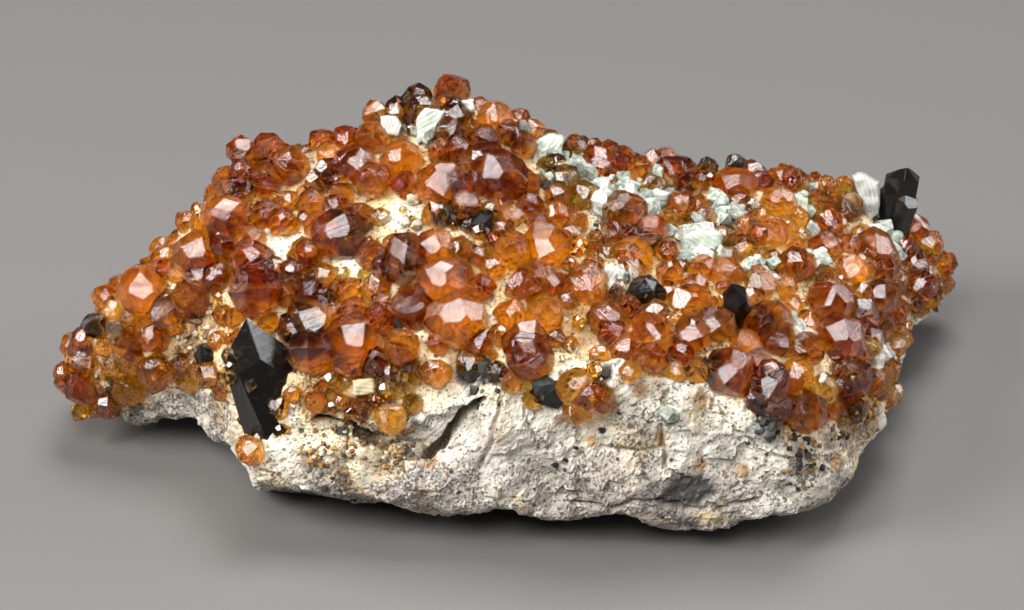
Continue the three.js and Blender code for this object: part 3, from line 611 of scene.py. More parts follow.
class Nodes:
    """Adds nodes and joins them in one material."""

    def __init__(self, name):
        """Starts a material that has its shader and its output."""
        self.material = bpy.data.materials.new(name)
        self.material.use_nodes = True
        self.tree = self.material.node_tree
        self.shader = self.tree.nodes["Principled BSDF"]
        self.output = self.tree.nodes["Material Output"]

    def add(self, kind, inputs=None, **settings):
        """Adds a node. Each input is a plain value or another node's socket."""
        node = self.tree.nodes.new(kind)
        for key, value in settings.items():
            setattr(node, key, value)
        for key, value in (inputs or {}).items():
            if isinstance(value, bpy.types.NodeSocket):
                self.tree.links.new(value, node.inputs[key])
            else:
                node.inputs[key].default_value = value
        return node

    def place(self):
        """The Object coordinates."""
        return self.add("ShaderNodeTexCoord").outputs["Object"]

    def math(self, kind, a, b=0.0, limit=False):
        """One sum of two values, kept from 0 to 1 if limited."""
        return self.add("ShaderNodeMath", {0: a, 1: b}, operation=kind, use_clamp=limit).outputs[0]

    def times(self, a, b):
        """The product of two values."""
        return self.math("MULTIPLY", a, b)

    def attribute(self, name, output="Fac"):
        """A value or a colour that the mesh carries at its points."""
        return self.add("ShaderNodeAttribute", attribute_name=name).outputs[output]

    def blend(self, share, a, b, kind="MIX"):
        """Colour a where the share is 0, and b, or a times b, where it is 1."""
        node = self.add("ShaderNodeMix", {0: share, 6: a, 7: b}, data_type="RGBA", blend_type=kind)
        return node.outputs[2]

    def band(self, value, low, high, to_low=0.0, to_high=1.0):
        """Maps a value between two limits, smoothly."""
        return self.add("ShaderNodeMapRange", {0: value, 1: low, 2: high, 3: to_low, 4: to_high},
                        interpolation_type="SMOOTHSTEP").outputs[0]

    def grainy(self, scale, detail=4.0, rough=0.55, warp=0.0):
        """Noise around a half, in layers at twice the scale each."""
        return self.add("ShaderNodeTexNoise", {"Vector": self.place(), "Scale": scale,
                        "Detail": detail, "Roughness": rough, "Distortion": warp}).outputs["Fac"]

    def lines(self, along, across=0.0, detail=3.0, rough=0.7):
        """Noise read along one value, and across it by a second, so it shows as lines."""
        run = self.add("ShaderNodeCombineXYZ", {0: along, 1: across}).outputs[0]
        return self.add("ShaderNodeTexNoise", {"Vector": run, "Scale": 1.0, "Detail": detail,
                        "Roughness": rough}).outputs["Fac"]

    def absorb(self, colour, density):
        """Light is lost inside, per metre, by the density times one less the colour."""
        node = self.add("ShaderNodeVolumeAbsorption", {"Color": rgba(colour), "Density": density})
        self.tree.links.new(node.outputs[0], self.output.inputs["Volume"])

    def bump(self, height, strength, distance, under=None):
        """Bump in metres, on top of another bump if one is given."""
        inputs = {"Height": height, "Strength": strength, "Distance": distance}
        if under is not None:
            inputs["Normal"] = under
        return self.add("ShaderNodeBump", inputs).outputs["Normal"]

    def set(self, **values):
        """Sets or joins the shader's own sockets."""
        for key, value in values.items():
            socket = self.shader.inputs[key.replace("_", " ")]
            if isinstance(value, bpy.types.NodeSocket):
                self.tree.links.new(value, socket)
            else:
                socket.default_value = value


print("a colour for a socket:", rgba(CREAM))

# %% [markdown]
# ## Rock material
# Grains are random cells, each with its own number. Cells whose number falls below a limit become dark
# hornblende or brown mica, and where the speckle is thick the limit is higher. Noise adds grey quartz,
# black flecks and iron. The cells and a fine noise also drive the bump, so that the light catches the
# broken grains.

# %% Nodes of the rock
# Cells per metre of the large and the small grains.
LARGE_GRAINS, SMALL_GRAINS = 1250.0, 2600.0
IRON = (0.62, 0.44, 0.18)
GREY_QUARTZ = (0.28, 0.26, 0.25)
FLECK = (0.09, 0.085, 0.075)
BROWN_MICA = (0.22, 0.13, 0.05)
HORNBLENDE = (0.03, 0.032, 0.03)
PLAIN = (1.0, 1.0, 1.0)


def rock_material():
    """Broad colours from the mesh, with two sizes of mineral grain and broken bump."""
    m = Nodes("feldspar_rock")
    broad = m.attribute("paint", "Color")
    share = m.attribute("speckle")
    big = m.add("ShaderNodeTexVoronoi", {"Vector": m.place(), "Scale": LARGE_GRAINS, "Randomness": 1.0})
    small = m.add("ShaderNodeTexVoronoi", {"Vector": m.place(), "Scale": SMALL_GRAINS, "Randomness": 1.0})
    big_id = m.add("ShaderNodeSeparateColor", {0: big.outputs["Color"]})
    small_id = m.add("ShaderNodeSeparateColor", {0: small.outputs["Color"]})
    patch = m.math("ADD", m.times(m.band(m.grainy(190.0, 4.0, 0.6), 0.40, 0.58), 0.6),
                   m.times(m.band(m.grainy(520.0, 4.0, 0.6), 0.44, 0.60), 0.7))
    amount = m.times(share, patch)
    crowd = m.times(amount, 0.14)
    shade = m.blend(m.band(m.grainy(420.0, 5.0, 0.6), 0.36, 0.60), rgba((0.70, 0.68, 0.65)),
                    rgba(PLAIN))
    colour = m.blend(1.0, broad, shade, "MULTIPLY")
    tone = m.blend(small_id.outputs[1], rgba((0.70, 0.68, 0.66)), rgba(PLAIN))
    colour = m.blend(0.6, colour, m.blend(1.0, colour, tone, "MULTIPLY"))
    pale = m.band(m.grainy(330.0, 5.0, 0.6), 0.50, 0.60)
    colour = m.blend(m.times(pale, 0.5), colour,
                     m.blend(1.0, broad, rgba((1.08, 1.08, 1.06)), "MULTIPLY"))
    stain = m.band(m.grainy(240.0, 5.0, 0.65), 0.53, 0.68)
    colour = m.blend(m.times(stain, share), colour, rgba(IRON))
    mottle = m.band(m.math("ADD", m.grainy(1250.0, 4.0, 0.65), crowd), 0.60, 0.68)
    colour = m.blend(m.times(mottle, 0.62), colour, rgba(GREY_QUARTZ))
    fleck = m.band(m.math("ADD", m.grainy(3000.0, 2.0, 0.5), crowd), 0.62, 0.66)
    colour = m.blend(m.times(fleck, 0.8), colour, rgba(FLECK))
    brown = m.math("LESS_THAN", small_id.outputs[2], m.times(amount, 0.10))
    colour = m.blend(m.times(brown, 0.85), colour, rgba(BROWN_MICA))
    dark = m.math("LESS_THAN", big_id.outputs[0], m.times(amount, 0.075))
    core = m.band(big.outputs["Distance"], 0.44, 0.30)
    colour = m.blend(m.times(m.times(dark, core), 0.92), colour,
                     rgba(HORNBLENDE))
    first = m.bump(small.outputs["Distance"], 0.4, 0.0002)
    second = m.bump(m.grainy(5200.0, 3.0, 0.6), 0.5, 0.00012, first)
    m.set(Base_Color=colour, Normal=second, Specular_IOR_Level=0.4,
          Roughness=m.band(big_id.outputs[1], 0.75, 0.95, 0.82, 0.42))
    return m.material


rock_look = rock_material()
print("nodes of the rock:", len(rock_look.node_tree.nodes))

# %% [markdown]
# ## The rock as a piece
# The grid closes on itself round each section, but its two ends are open. A fan of triangles from a
# point in the middle shuts each one, so the rock is a closed solid. It stands for the solid of the
# frame, and its faces are flat shaded, because broken rock has no soft curves.

# %% Closed ends, and the rock in place
rows, columns = fine.shape[:2]
end_middles = np.stack([fine[0].mean(0), fine[-1].mean(0)])
rock_points = np.concatenate([fine_flat, end_middles])
ring = np.arange(columns)
first_fan = np.stack([ring, np.roll(ring, -1), np.full(columns, rows * columns)], 1)
last = (rows - 1) * columns
last_fan = np.stack([last + np.roll(ring, -1), last + ring, np.full(columns, rows * columns + 1)], 1)
rock_corners = np.concatenate([fine_faces.ravel(), first_fan.ravel(), last_fan.ravel()])
rock_starts = np.concatenate([np.arange(len(fine_faces)) * 4,
                              len(fine_faces) * 4 + np.arange(2 * columns) * 3])
ends = np.array([0, last])
rock = make_piece("rock", rock_points, rock_corners, rock_starts, [rock_look], smooth=False, values={
    "paint": np.concatenate([paint, paint[ends]]), "speckle": np.concatenate([speckle, speckle[ends]])})
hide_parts("feldspar_matrix")
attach(rock, "root")
print("rock:", len(rock_points), "points")

# %% [markdown]
# ## Flat-faced crystals
# Any crystal is what is left between its faces: the points that lie behind every one of a set of
# planes. So a crystal needs only the directions of its faces and how far out each one stands. The
# corners are where three planes meet with none of the others in the way.

# %% Crystals from their face directions
# Any direction does that lies along no edge: a face's corners are put in order round it.
SKEW = (0.31, 0.52, 0.79)


def crystal_form(normals, distances):
    """Corners and ordered faces of the solid behind all the planes n . p = d."""
    normals = np.asarray(normals, float)
    distances = np.asarray(distances, float)
    count = len(normals)
    i, j, k = np.array([(a, b, c) for a in range(count) for b in range(a) for c in range(b)]).T
    crossed = np.cross(normals[j], normals[k])
    volume = np.sum(normals[i] * crossed, axis=1)
    good = np.abs(volume) > 1e-6
    i, j, k, crossed, volume = i[good], j[good], k[good], crossed[good], volume[good]
    meet = (distances[i, None] * crossed + distances[j, None] * np.cross(normals[k], normals[i])
            + distances[k, None] * np.cross(normals[i], normals[j])) / volume[:, None]
    behind_all = np.all(meet @ normals.T <= distances + 1e-7, axis=1)
    points = np.unique(np.round(meet[behind_all], 5), axis=0)
    faces = []
    for n, d in zip(normals, distances):
        on = np.flatnonzero(np.abs(points @ n - d) < 1e-4)
        if len(on) < 3:
            continue
        middle = points[on].mean(0)
        side = np.cross(n, SKEW)
        side /= np.linalg.norm(side)
        angle = np.arctan2((points[on] - middle) @ np.cross(n, side), (points[on] - middle) @ side)
        faces.append(on[np.argsort(angle)])
    return points, faces


print("faces of a cut cube:", len(crystal_form(np.concatenate([np.eye(3), -np.eye(3)]), np.ones(6))[1]))

# %% [markdown]
# ## Soft edges
# A crystal's edge is never quite sharp, and the narrow strip along it catches the light. Blender's
# Bevel modifier would cut it too. Cutting it in the arrays also gives a value that runs across each
# face, which the material turns into growth lines.

# %% Cut edges
def face_normal(points, face):
    """The unit normal of a flat polygon: the sum of the crossed neighbouring corners."""
    loop = points[face] - points[face].mean(0)
    normal = np.cross(loop, np.roll(loop, -1, 0)).sum(0)
    return normal / np.linalg.norm(normal)


def softened(points, faces, edge):
    """Cuts every edge. Each face is drawn in towards its middle; four-sided strips fill the gaps along
    the edges, and a small face fills each corner. Returns points, faces and a value that runs across
    each face, for growth lines."""
    new_points, new_faces, lines, corner_of = [], [], [], {}
    for number, face in enumerate(faces):
        middle = points[face].mean(0)
        normal = face_normal(points, face)
        across = np.cross(normal, points[face[0]] - middle)
        across /= np.linalg.norm(across)
        outer = middle + (points[face] - middle) * (1 - edge)
        start = sum(len(p) for p in new_points)
        for n, corner in enumerate(face):
            corner_of[number, corner] = start + n
        new_points.append(outer)
        lines.append((outer - middle) @ across)
        new_faces.append([start + n for n in range(len(face))])
    beside = {(face[n], face[(n + 1) % len(face)]): number
              for number, face in enumerate(faces) for n in range(len(face))}
    for (a, b), number in beside.items():
        other = beside.get((b, a))
        if other is not None and a < b:
            new_faces.append([corner_of[number, b], corner_of[number, a],
                              corner_of[other, a], corner_of[other, b]])
    joined = np.concatenate(new_points)
    for corner in range(len(points)):
        ids = [corner_of[number, corner] for number, face in enumerate(faces) if corner in face]
        outward = points[corner] - points.mean(0)
        outward /= np.linalg.norm(outward)
        side = np.cross(outward, SKEW)
        side /= np.linalg.norm(side)
        spokes = joined[ids] - joined[ids].mean(0)
        angle = np.arctan2(spokes @ np.cross(outward, side), spokes @ side)
        if len(ids) >= 3:
            new_faces.append([ids[n] for n in np.argsort(angle)])
    return joined, new_faces, np.concatenate(lines)


# %% [markdown]
# ## Faces of a garnet
# A garnet's faces come in sets. All orders and signs of the numbers 2, 1, 1 are 24 directions, whose
# faces are kites, and those of 1, 1, 0 are 12 directions, whose faces are rhombs.

# %% Directions of the two sets
def signed(values):
    """Every order and sign of three numbers, without repeats, as unit directions."""
    a, b, c = values
    orders = {(a, b, c), (a, c, b), (b, a, c), (b, c, a), (c, a, b), (c, b, a)}
    found = {(x * s, y * t, z * u) for x, y, z in orders
             for s in (1, -1) for t in (1, -1) for u in (1, -1)}
    return np.array(sorted(found), float) / np.linalg.norm(values)


TRAPEZOHEDRON = signed((2, 1, 1))
DODECAHEDRON = signed((1, 1, 0))
print("garnet faces:", len(TRAPEZOHEDRON), "and", len(DODECAHEDRON))

# %% [markdown]
# ## Garnet forms
# These garnets show both sets of faces, in every mix. Faces that grew a little faster are smaller, so
# no two crystals look alike. Ten large forms and six middle ones have soft edges. Four plain ones do
# for the small crystals, because hundreds of those are used.

# %% A set of forms
class Form:
    """One crystal shape as arrays, ready to be copied many times."""

    def __init__(self, points, faces, lines=None):
        """Keeps the corners of all faces in one list, with each face's number of corners."""
        self.points = np.asarray(points, float)
        self.corners = np.concatenate([np.asarray(f) for f in faces])
        self.totals = np.array([len(f) for f in faces])
        self.lines = np.zeros(len(self.points)) if lines is None else lines


KITE_DISTANCE = 0.92
garnet_dice = np.random.default_rng(20)


def garnet_form(rhomb_distance, uneven, edge):
    """A garnet about 2 across: kites near one distance, and rhombs nearer or farther out. The nearer
    a rhomb stands, the larger it is."""
    normals = np.concatenate([TRAPEZOHEDRON, DODECAHEDRON])
    distances = np.concatenate([np.full(len(TRAPEZOHEDRON), KITE_DISTANCE),
                                np.full(len(DODECAHEDRON), rhomb_distance)])
    distances = distances * (1 + garnet_dice.uniform(-uneven, uneven, len(distances)))
    points, faces = crystal_form(normals, distances)
    if edge == 0:
        return Form(points, faces)
    return Form(*softened(points, faces, edge))


LARGE_FORMS = [garnet_form(d, 0.055, 0.045)
               for d in (1.05, 0.975, 1.05, 0.88, 1.05, 0.96, 1.05, 0.97, 1.05, 0.90)]
MIDDLE_FORMS = [garnet_form(d, 0.05, 0.05) for d in (1.05, 0.96, 1.05, 0.87, 1.05, 0.93)]
SMALL_FORMS = [garnet_form(d, 0.03, 0.0) for d in (1.05, 0.86, 1.05, 0.87)]
print("faces of a large, a middle and a small form:",
      [len(f[0].totals) for f in (LARGE_FORMS, MIDDLE_FORMS, SMALL_FORMS)])

# %% [markdown]
# ## Turning and joining copies
# A copy of a form is its points times a turn and a size, plus a place. Many copies are joined into one
# mesh, because the export drops instances. Each copy brings its colour number and its tint.

# %% Copies of forms in one mesh
def turn_from_angles(a, b, c):
    """The product of turns about X, Y and Z."""
    ca, sa = math.cos(a), math.sin(a)
    cb, sb = math.cos(b), math.sin(b)
    cc, sc = math.cos(c), math.sin(c)
    rx = np.array([[1, 0, 0], [0, ca, -sa], [0, sa, ca]])
    ry = np.array([[cb, 0, sb], [0, 1, 0], [-sb, 0, cb]])
    rz = np.array([[cc, -sc, 0], [sc, cc, 0], [0, 0, 1]])
    return rx @ ry @ rz


def crossing(v):
    """The table that gives v crossed with whatever it multiplies."""
    return np.array([[0, -v[2], v[1]], [v[2], 0, -v[0]], [-v[1], v[0], 0]])


def turn_to(start, end, spin=0.0):
    """The turn that carries one unit direction to another, then spins about it: one plus the crossing
    table of their cross product, plus its square over one plus their dot product."""
    k = crossing(np.cross(start, end))
    c = float(np.dot(start, end))
    first = np.eye(3) + k + k @ k / (1 + c) if c > -0.9999 else -np.eye(3)
    e = crossing(end)
    return (np.eye(3) + math.sin(spin) * e + (1 - math.cos(spin)) * e @ e) @ first


def join_copies(name, copies, materials):
    """One object from copies, each a dict with form, turn, size, place, colour and tint."""
    points, corners, totals, which, tints, lines, base = [], [], [], [], [], [], 0
    for c in copies:
        form = c["form"]
        points.append(form.points @ (c["turn"] * c["size"]).T + c["place"])
        corners.append(form.corners + base)
        totals.append(form.totals)
        which.append(np.full(len(form.totals), c.get("colour", 0)))
        tints.append(np.full(len(form.points), c.get("tint", 0.5)))
        lines.append(form.lines * np.mean(c["size"]))
        base += len(form.points)
    totals = np.concatenate(totals)
    starts = np.concatenate([[0], np.cumsum(totals)[:-1]])
    return make_piece(name, np.concatenate(points), np.concatenate(corners), starts, materials,
                      np.concatenate(which), False,
                      {"tint": np.concatenate(tints), "growth": np.concatenate(lines)})


print("a quarter turn about X:", np.round(turn_from_angles(math.pi / 2, 0, 0), 1).tolist())

# %% [markdown]
# ## Garnet material
# Spessartine garnet is a clear orange-brown crystal with many flaws. Light goes in, is stained by the
# depth it crosses, and comes back off the far faces and the pale rock below. So the shader lets all
# light through that its faces do not mirror, bends it by garnet's index of refraction, and absorbs it
# inside. A tint in the colour stands for the flaws. Seven tones cover the crystals, from honey-yellow
# to smoky brown and a few of sage grey.

# %% Seven tones of garnet
GARNET_IOR = 1.7
# Name: letters in the lists, light tint, deep tint, and how strongly red, green and blue are absorbed,
# per metre.
TONES = {
    "orange": ("oa", (1.0, 0.64, 0.13), (1.0, 0.52, 0.06), (5, 70, 280)),
    "honey": ("y", (1.0, 0.78, 0.26), (1.0, 0.67, 0.15), (2, 34, 180)),
    "amber_brown": ("m", (1.0, 0.57, 0.11), (0.97, 0.46, 0.06), (16, 92, 280)),
    "red": ("rp", (0.97, 0.53, 0.10), (0.92, 0.43, 0.06), (28, 100, 300)),
    "deep_red": ("d", (0.92, 0.48, 0.10), (0.83, 0.38, 0.06), (46, 118, 310)),
    "smoky_brown": ("b", (0.92, 0.54, 0.15), (0.80, 0.43, 0.10), (52, 128, 280)),
    "sage_grey": ("g", (0.96, 0.92, 0.70), (0.90, 0.86, 0.60), (20, 30, 90)),
}


# The density is a little above the strongest absorption, so that no colour reaches zero.
ABOVE_STRONGEST = 1.03


def garnet_material(name, light, deep, absorbed):
    """Tint in two tones by noise and by each crystal's own number, growth lines as bump, and plain
    transmission, index and absorption. Absorption per metre is density times one less the colour."""
    m = Nodes("garnet_" + name)
    tint = m.attribute("tint")
    cloud = m.grainy(520.0, 5.0, 0.62, 0.6)
    own = m.times(m.math("SUBTRACT", tint, 0.5), 0.9)
    share = m.math("ADD", m.band(cloud, 0.36, 0.66), own, limit=True)
    colour = m.blend(share, rgba(deep), rgba(light))
    first = m.bump(m.lines(m.times(m.attribute("growth"), 5.0), tint), 0.6, 0.00008)
    pits = m.bump(m.grainy(900.0, 3.0), 0.10, 0.00012, first)
    frost = m.band(m.grainy(700.0, 4.0, 0.6), 0.45, 0.75, 0.02, 0.11)
    m.set(Base_Color=colour, Normal=pits, Roughness=frost, IOR=GARNET_IOR, Transmission_Weight=1.0)
    density = ABOVE_STRONGEST * max(absorbed)
    m.absorb(1 - np.array(absorbed) / density, density)
    return m.material


garnet_looks = [garnet_material(name, *values[1:]) for name, values in TONES.items()]
TONE_NUMBER = {letter: n for n, values in enumerate(TONES.values()) for letter in values[0]}
print("garnet tones:", list(TONES))

# %% [markdown]
# ## Where the garnets are
# Each entry is one crystal: across and down, where its middle shows in the view, how big it is in
# millimetres, and the letter of its tone. The large ones are the same as in the solids. The rest are
# too small to be solids of their own, so they are only here.

# %% The garnets, region by region
GARNETS = """
left lobe: 71,380,3.3o 85,388,4.0r 80,412,2.0a 104,385,2.4a 108,404,2.9a 128,390,3.3a 96,410,1.8a
115,411,1.3a 155,372,4.2o 133,362,2.9a 112,366,2.4a 128,345,3.1m 104,347,2.2m 84,342,3.1a 86,360,2.9a
153,334,3.8a 133,332,2.0a 131,318,2.7a 113,312,2.4a 107,298,3.1a 145,292,5.6r 170,315,4.0a 190,300,4.2a
198,280,3.1a 165,270,2.9r 178,273,2.4a 197,255,5.1r 215,278,2.9m 168,300,2.2a 182,365,2.4a 190,380,2.7a
210,375,2.9a 223,385,1.6a 234,318,2.2r 216,303,0.9y
left rim: 242,152,3.3m 268,150,3.6m 290,165,3.8m 243,178,3.1m 268,175,3.3d 264,188,2.7m 228,190,2.7m
242,193,2.9r 225,218,4.9m 245,217,1.6m 255,205,1.8y 275,197,1.1y 268,217,3.6a 282,225,3.3m 288,203,2.7m
305,193,1.8m 312,205,3.3d 305,218,1.8m 225,245,3.3r 250,240,3.3m 252,262,4.2m 268,256,1.6m 275,268,2.4m
305,253,3.3p 295,270,2.7m 318,182,2.9b 328,172,2.9b 347,140,3.1m 373,138,3.8a 330,157,2.7m 345,160,2.2m
358,165,4.0r 340,180,2.2m 373,180,4.0a 358,180,1.3y 342,195,2.7m 335,207,2.7m 358,222,3.8m 380,217,2.0y
340,235,5.6r 352,245,2.9a 320,225,3.3m 372,255,3.1r 345,273,1.3y 312,270,1.3m
centre left: 258,290,5.6r 252,310,2.0a 266,322,2.4a 290,290,3.8m 308,290,3.3m 325,277,2.9a 338,288,1.8m
325,298,2.7m 315,322,5.8o 300,330,4.4m 312,350,5.3r 350,290,2.9a 375,288,3.1a 383,303,2.4m 354,312,3.1m
380,318,3.3m 353,345,6.4r 402,347,3.8r 378,362,3.1p 385,265,2.7m 390,275,1.8m 364,275,1.3y 415,305,4.4m
230,356,1.8y 228,380,2.2y 250,383,1.3y
peak: 452,93,3.8m 447,103,2.4m 418,98,2.9m 375,113,2.7a 398,110,2.7m 422,113,4.0r 413,128,1.6m
455,115,3.3b 495,118,4.0m 508,135,3.3m 484,142,3.3b 450,133,3.6b 440,152,2.7m 455,150,3.1m 487,158,3.8m
497,178,6.4m 440,185,4.9m 458,187,2.4a 475,185,2.9m 462,165,1.8y 402,160,4.4r 405,185,2.7m 405,195,1.1y
403,210,0.8y 411,220,1.0y 465,205,3.3m 468,225,1.8m 510,215,2.7d
centre: 437,215,3.1a 490,213,2.4b 453,226,1.1m 480,232,1.8m 494,239,1.6m 408,255,4.9r 436,248,4.0m
460,250,2.9a 478,257,2.2m 493,268,2.7m 513,250,4.0a 546,248,5.1o 443,282,5.1r 463,273,2.2m 480,288,2.9m
536,283,4.9a 557,285,2.7r 456,320,5.8m 416,310,3.8m 430,326,1.6m 438,343,2.4m 478,343,2.7m 510,315,3.3m
543,318,4.0a 500,335,2.4m 525,343,4.4m 530,358,4.4m 568,300,2.0m
right rim: 533,130,2.4m 521,145,3.1m 575,148,2.7m 570,156,1.8m 551,165,2.7m 594,148,2.0d 610,150,2.2m
598,165,4.0m 617,165,2.7m 609,180,1.6a 565,180,3.3d 525,185,3.3d 557,197,2.9b 585,196,3.3a 530,205,2.7m
556,215,2.7m 535,222,2.7m 577,222,2.4p 640,172,2.9m 650,163,2.7m 666,160,2.9m 672,177,4.4r 680,188,2.7m
651,188,3.1m 682,207,3.3o 685,225,2.0m 624,215,5.1r 650,232,3.8m 630,235,2.9a 610,233,3.1m 595,238,1.8m
580,245,1.6m 607,253,2.0m 633,255,4.0a 665,250,2.7a 655,245,1.3g
centre right: 570,265,1.8m 593,265,2.2m 632,275,3.3m 613,290,2.2m 588,285,4.4r 657,312,2.7b 668,285,1.3b
670,273,2.9m 703,270,3.1m 695,287,2.9m 697,245,1.3b 714,241,1.1y 711,257,1.6y 726,235,2.4d 727,275,3.6a
733,310,2.4a 722,297,0.9y 690,307,4.9r 607,320,4.0r 628,308,2.7r 640,315,2.2m 613,335,2.9m 627,350,3.3d
655,338,4.9o 652,358,3.3m 680,352,2.7m 715,325,4.0b 690,335,4.0r 592,319,1.0y 578,322,1.3y 570,345,1.8a
599,355,2.0a 594,370,1.6a 577,388,4.0o 598,398,3.4o 577,410,2.9o 599,383,1.3y 630,372,2.2p
far right: 708,166,2.0m 702,176,1.3a 695,170,1.3m 735,165,2.2d 735,187,4.4r 760,185,3.1m 776,180,2.7m
796,183,3.3m 778,203,3.8o 740,205,2.7m 728,210,2.0m 751,207,2.0g 705,220,2.7m 748,227,2.9m 758,235,2.2m
775,233,3.1a 787,228,2.2m 802,237,1.8y 812,228,1.8m 818,206,3.6m 829,226,3.1m 825,248,3.6m 843,187,2.5a
850,207,3.3m 745,255,2.9r 767,259,2.7a 795,265,3.8m 785,287,2.7a 757,285,3.8m 825,278,2.9a 852,270,3.3m
896,222,2.7a 917,228,2.9r 930,245,3.1a 946,263,2.7a 907,252,2.9a 913,266,3.6r 895,280,2.9a 920,285,3.6r
872,252,4.7r 868,268,2.2b 885,272,1.8m
right front: 830,303,5.1d 770,325,4.9d 808,325,2.9r 838,340,5.4d 866,335,3.8d 777,345,2.7b 806,351,3.8b
797,375,3.3a 730,372,5.1r 757,365,3.3d 768,387,4.9d 775,407,3.6d 756,398,2.7d 823,390,3.3y 852,378,4.2o
875,383,2.9o 858,355,2.7r 805,411,4.4o 832,408,2.4r 855,408,2.7b 843,388,2.7d 880,328,3.1a 862,315,3.6b
878,298,4.0b 890,312,3.3m 835,357,1.8a 833,367,0.9g 803,304,1.1y 813,303,1.0y 745,345,3.3r
front ledge: 332,378,1.6y 342,374,1.5y 350,371,1.4y 337,388,1.6y 346,383,1.3y 330,396,1.5y 341,403,1.8a
352,405,1.7a 363,407,1.8a 373,402,1.5a 381,400,1.6o 389,402,1.4y 392,372,2.0o 402,376,2.0y 398,388,1.9y
408,386,1.6y 414,378,1.4y 385,389,1.5y 378,380,1.6y 369,374,1.5y 360,372,1.4y 384,371,1.5o 376,367,1.5o
395,380,1.5o 350,413,1.3a 362,416,1.3a 330,408,1.4b 316,402,2.4d 321,388,1.6d 412,366,1.6o 420,372,1.3y
405,365,1.6o 250,450,2.9o 266,434,1.8r 273,428,1.6a 258,438,1.6b 282,430,1.5m 262,427,1.4y 244,420,1.3a
532,400,2.0a 530,375,1.5y 538,393,1.5a 526,386,1.3y 251,459,1.5m 245,441,1.3o
"""
# Crystals that show a bright face, each by the nearest middle in the list above.
BRIGHT = [
    (768, 387), (862, 315), (757, 285), (715, 325), (690, 335), (808, 325), (797, 375), (917, 228),
    (930, 245), (920, 285), (878, 298), (852, 270), (525, 343), (577, 388), (478, 343), (497, 178),
    (495, 118), (440, 185), (546, 248), (455, 115), (353, 345), (456, 320), (225, 218), (145, 292),
    (197, 255), (300, 330), (315, 322), (598, 165), (436, 248), (408, 255), (630, 372), (830, 303),
    (838, 340), (443, 282), (340, 235), (585, 196), (672, 177), (588, 285), (730, 372), (655, 338),
]


listed = [(float(across), float(down), float(size), tone) for across, down, size, tone
          in re.findall(r"(\d+),(\d+),([\d.]+)([a-z])", GARNETS)]
print("listed garnets:", len(listed), "of them bright:", len(BRIGHT))

# %% [markdown]
# ## How a garnet is turned
# A crystal flashes when one of its faces lies halfway between the eye and the soft light. Those that
# flash on the real piece are turned so that they do. The others keep a turn of their own, from fixed
# fractions that never repeat, so every run gives the same crystals.

# %% One garnet
GOLDEN = np.array([0.618034, 0.754878, 0.56984])
LARGE_FROM = 3.25
MIDDLE_FROM = 1.9
FLASH_LEAN = 0.035
STRETCH = 0.05
TINT_SPREAD = 0.22
SOFTBOX_AZIMUTH = math.radians(-14)
SOFTBOX_ELEVATION = math.radians(50)
softbox_way = np.array([math.sin(SOFTBOX_AZIMUTH) * math.cos(SOFTBOX_ELEVATION),
                        -math.cos(SOFTBOX_AZIMUTH) * math.cos(SOFTBOX_ELEVATION),
                        math.sin(SOFTBOX_ELEVATION)])
flash_way = softbox_way - look
flash_way /= np.linalg.norm(flash_way)
dice = np.random.default_rng(7)


def form_for(size, number):
    """Large, middle or small form, chosen in turn."""
    forms = LARGE_FORMS if size >= LARGE_FROM else MIDDLE_FORMS if size >= MIDDLE_FROM else SMALL_FORMS
    return forms[number % len(forms)]


def garnet_copy(place, size, tone, number, flashes=False):
    """One garnet, ready to be joined. Its number picks its form and its turn."""
    if flashes:
        kite = TRAPEZOHEDRON[int(number) % len(TRAPEZOHEDRON)]
        aim = flash_way + dice.normal(0, FLASH_LEAN, 3)
        turn = turn_to(kite, aim / np.linalg.norm(aim), dice.uniform(0, 2 * math.pi))
    else:
        turn = turn_from_angles(*(2 * math.pi * ((number * GOLDEN) % 1)))
    stretch = 1 + dice.uniform(-STRETCH, STRETCH, 3)
    return {"form": form_for(size, int(number)), "turn": turn, "size": size / 2 * stretch,
            "place": np.asarray(place), "colour": TONE_NUMBER[tone],
            "tint": float(np.clip(0.5 + dice.normal(0, TINT_SPREAD), 0, 1)), "radius": size / 2}


print("a face flashes when it looks towards", np.round(flash_way, 2))

# %% [markdown]
# ## Seating the garnets
# A garnet's middle stands out of the rock by part of its radius, and it moves towards the standpoint,
# so it still shows at its place. Crystals of a group often share their faces, so half of the larger
# ones have a smaller crystal grown into them. It sits aside of the larger one's middle, and mostly
# across the line of sight, where it shows.

# %% Listed garnets and their twins
SUNK_SHARE = 0.42
GROWN = 1.10
TWIN_FROM = 2.6
TWIN_SHARE = 0.5
TWIN_OFFSET = 0.30
TWIN_SIZES = (0.6, 0.85)
flashing = set()
for across, down in BRIGHT:
    away = [math.hypot(g[0] - across, g[1] - down) for g in listed]
    flashing.add(int(np.argmin(away)))
garnets = []
for n, (across, down, size, tone) in enumerate(listed):
    point, normal, line = rock_at(across, down)
    facing = max(0.45, float(-normal @ line))
    middle = point - line * (SUNK_SHARE * size / 2 / facing)
    garnets.append(garnet_copy(middle, size * GROWN, tone, across + down, n in flashing))
    if size >= TWIN_FROM and dice.random() < TWIN_SHARE:
        aside = dice.normal(size=3)
        aside -= line * (aside @ line) * 0.6
        aside = TWIN_OFFSET * size * aside / np.linalg.norm(aside)
        garnets.append(garnet_copy(middle + aside, size * dice.uniform(*TWIN_SIZES), tone,
                                   across + down + 5))
print("garnets with places:", len(garnets), "and", len(flashing), "that flash")

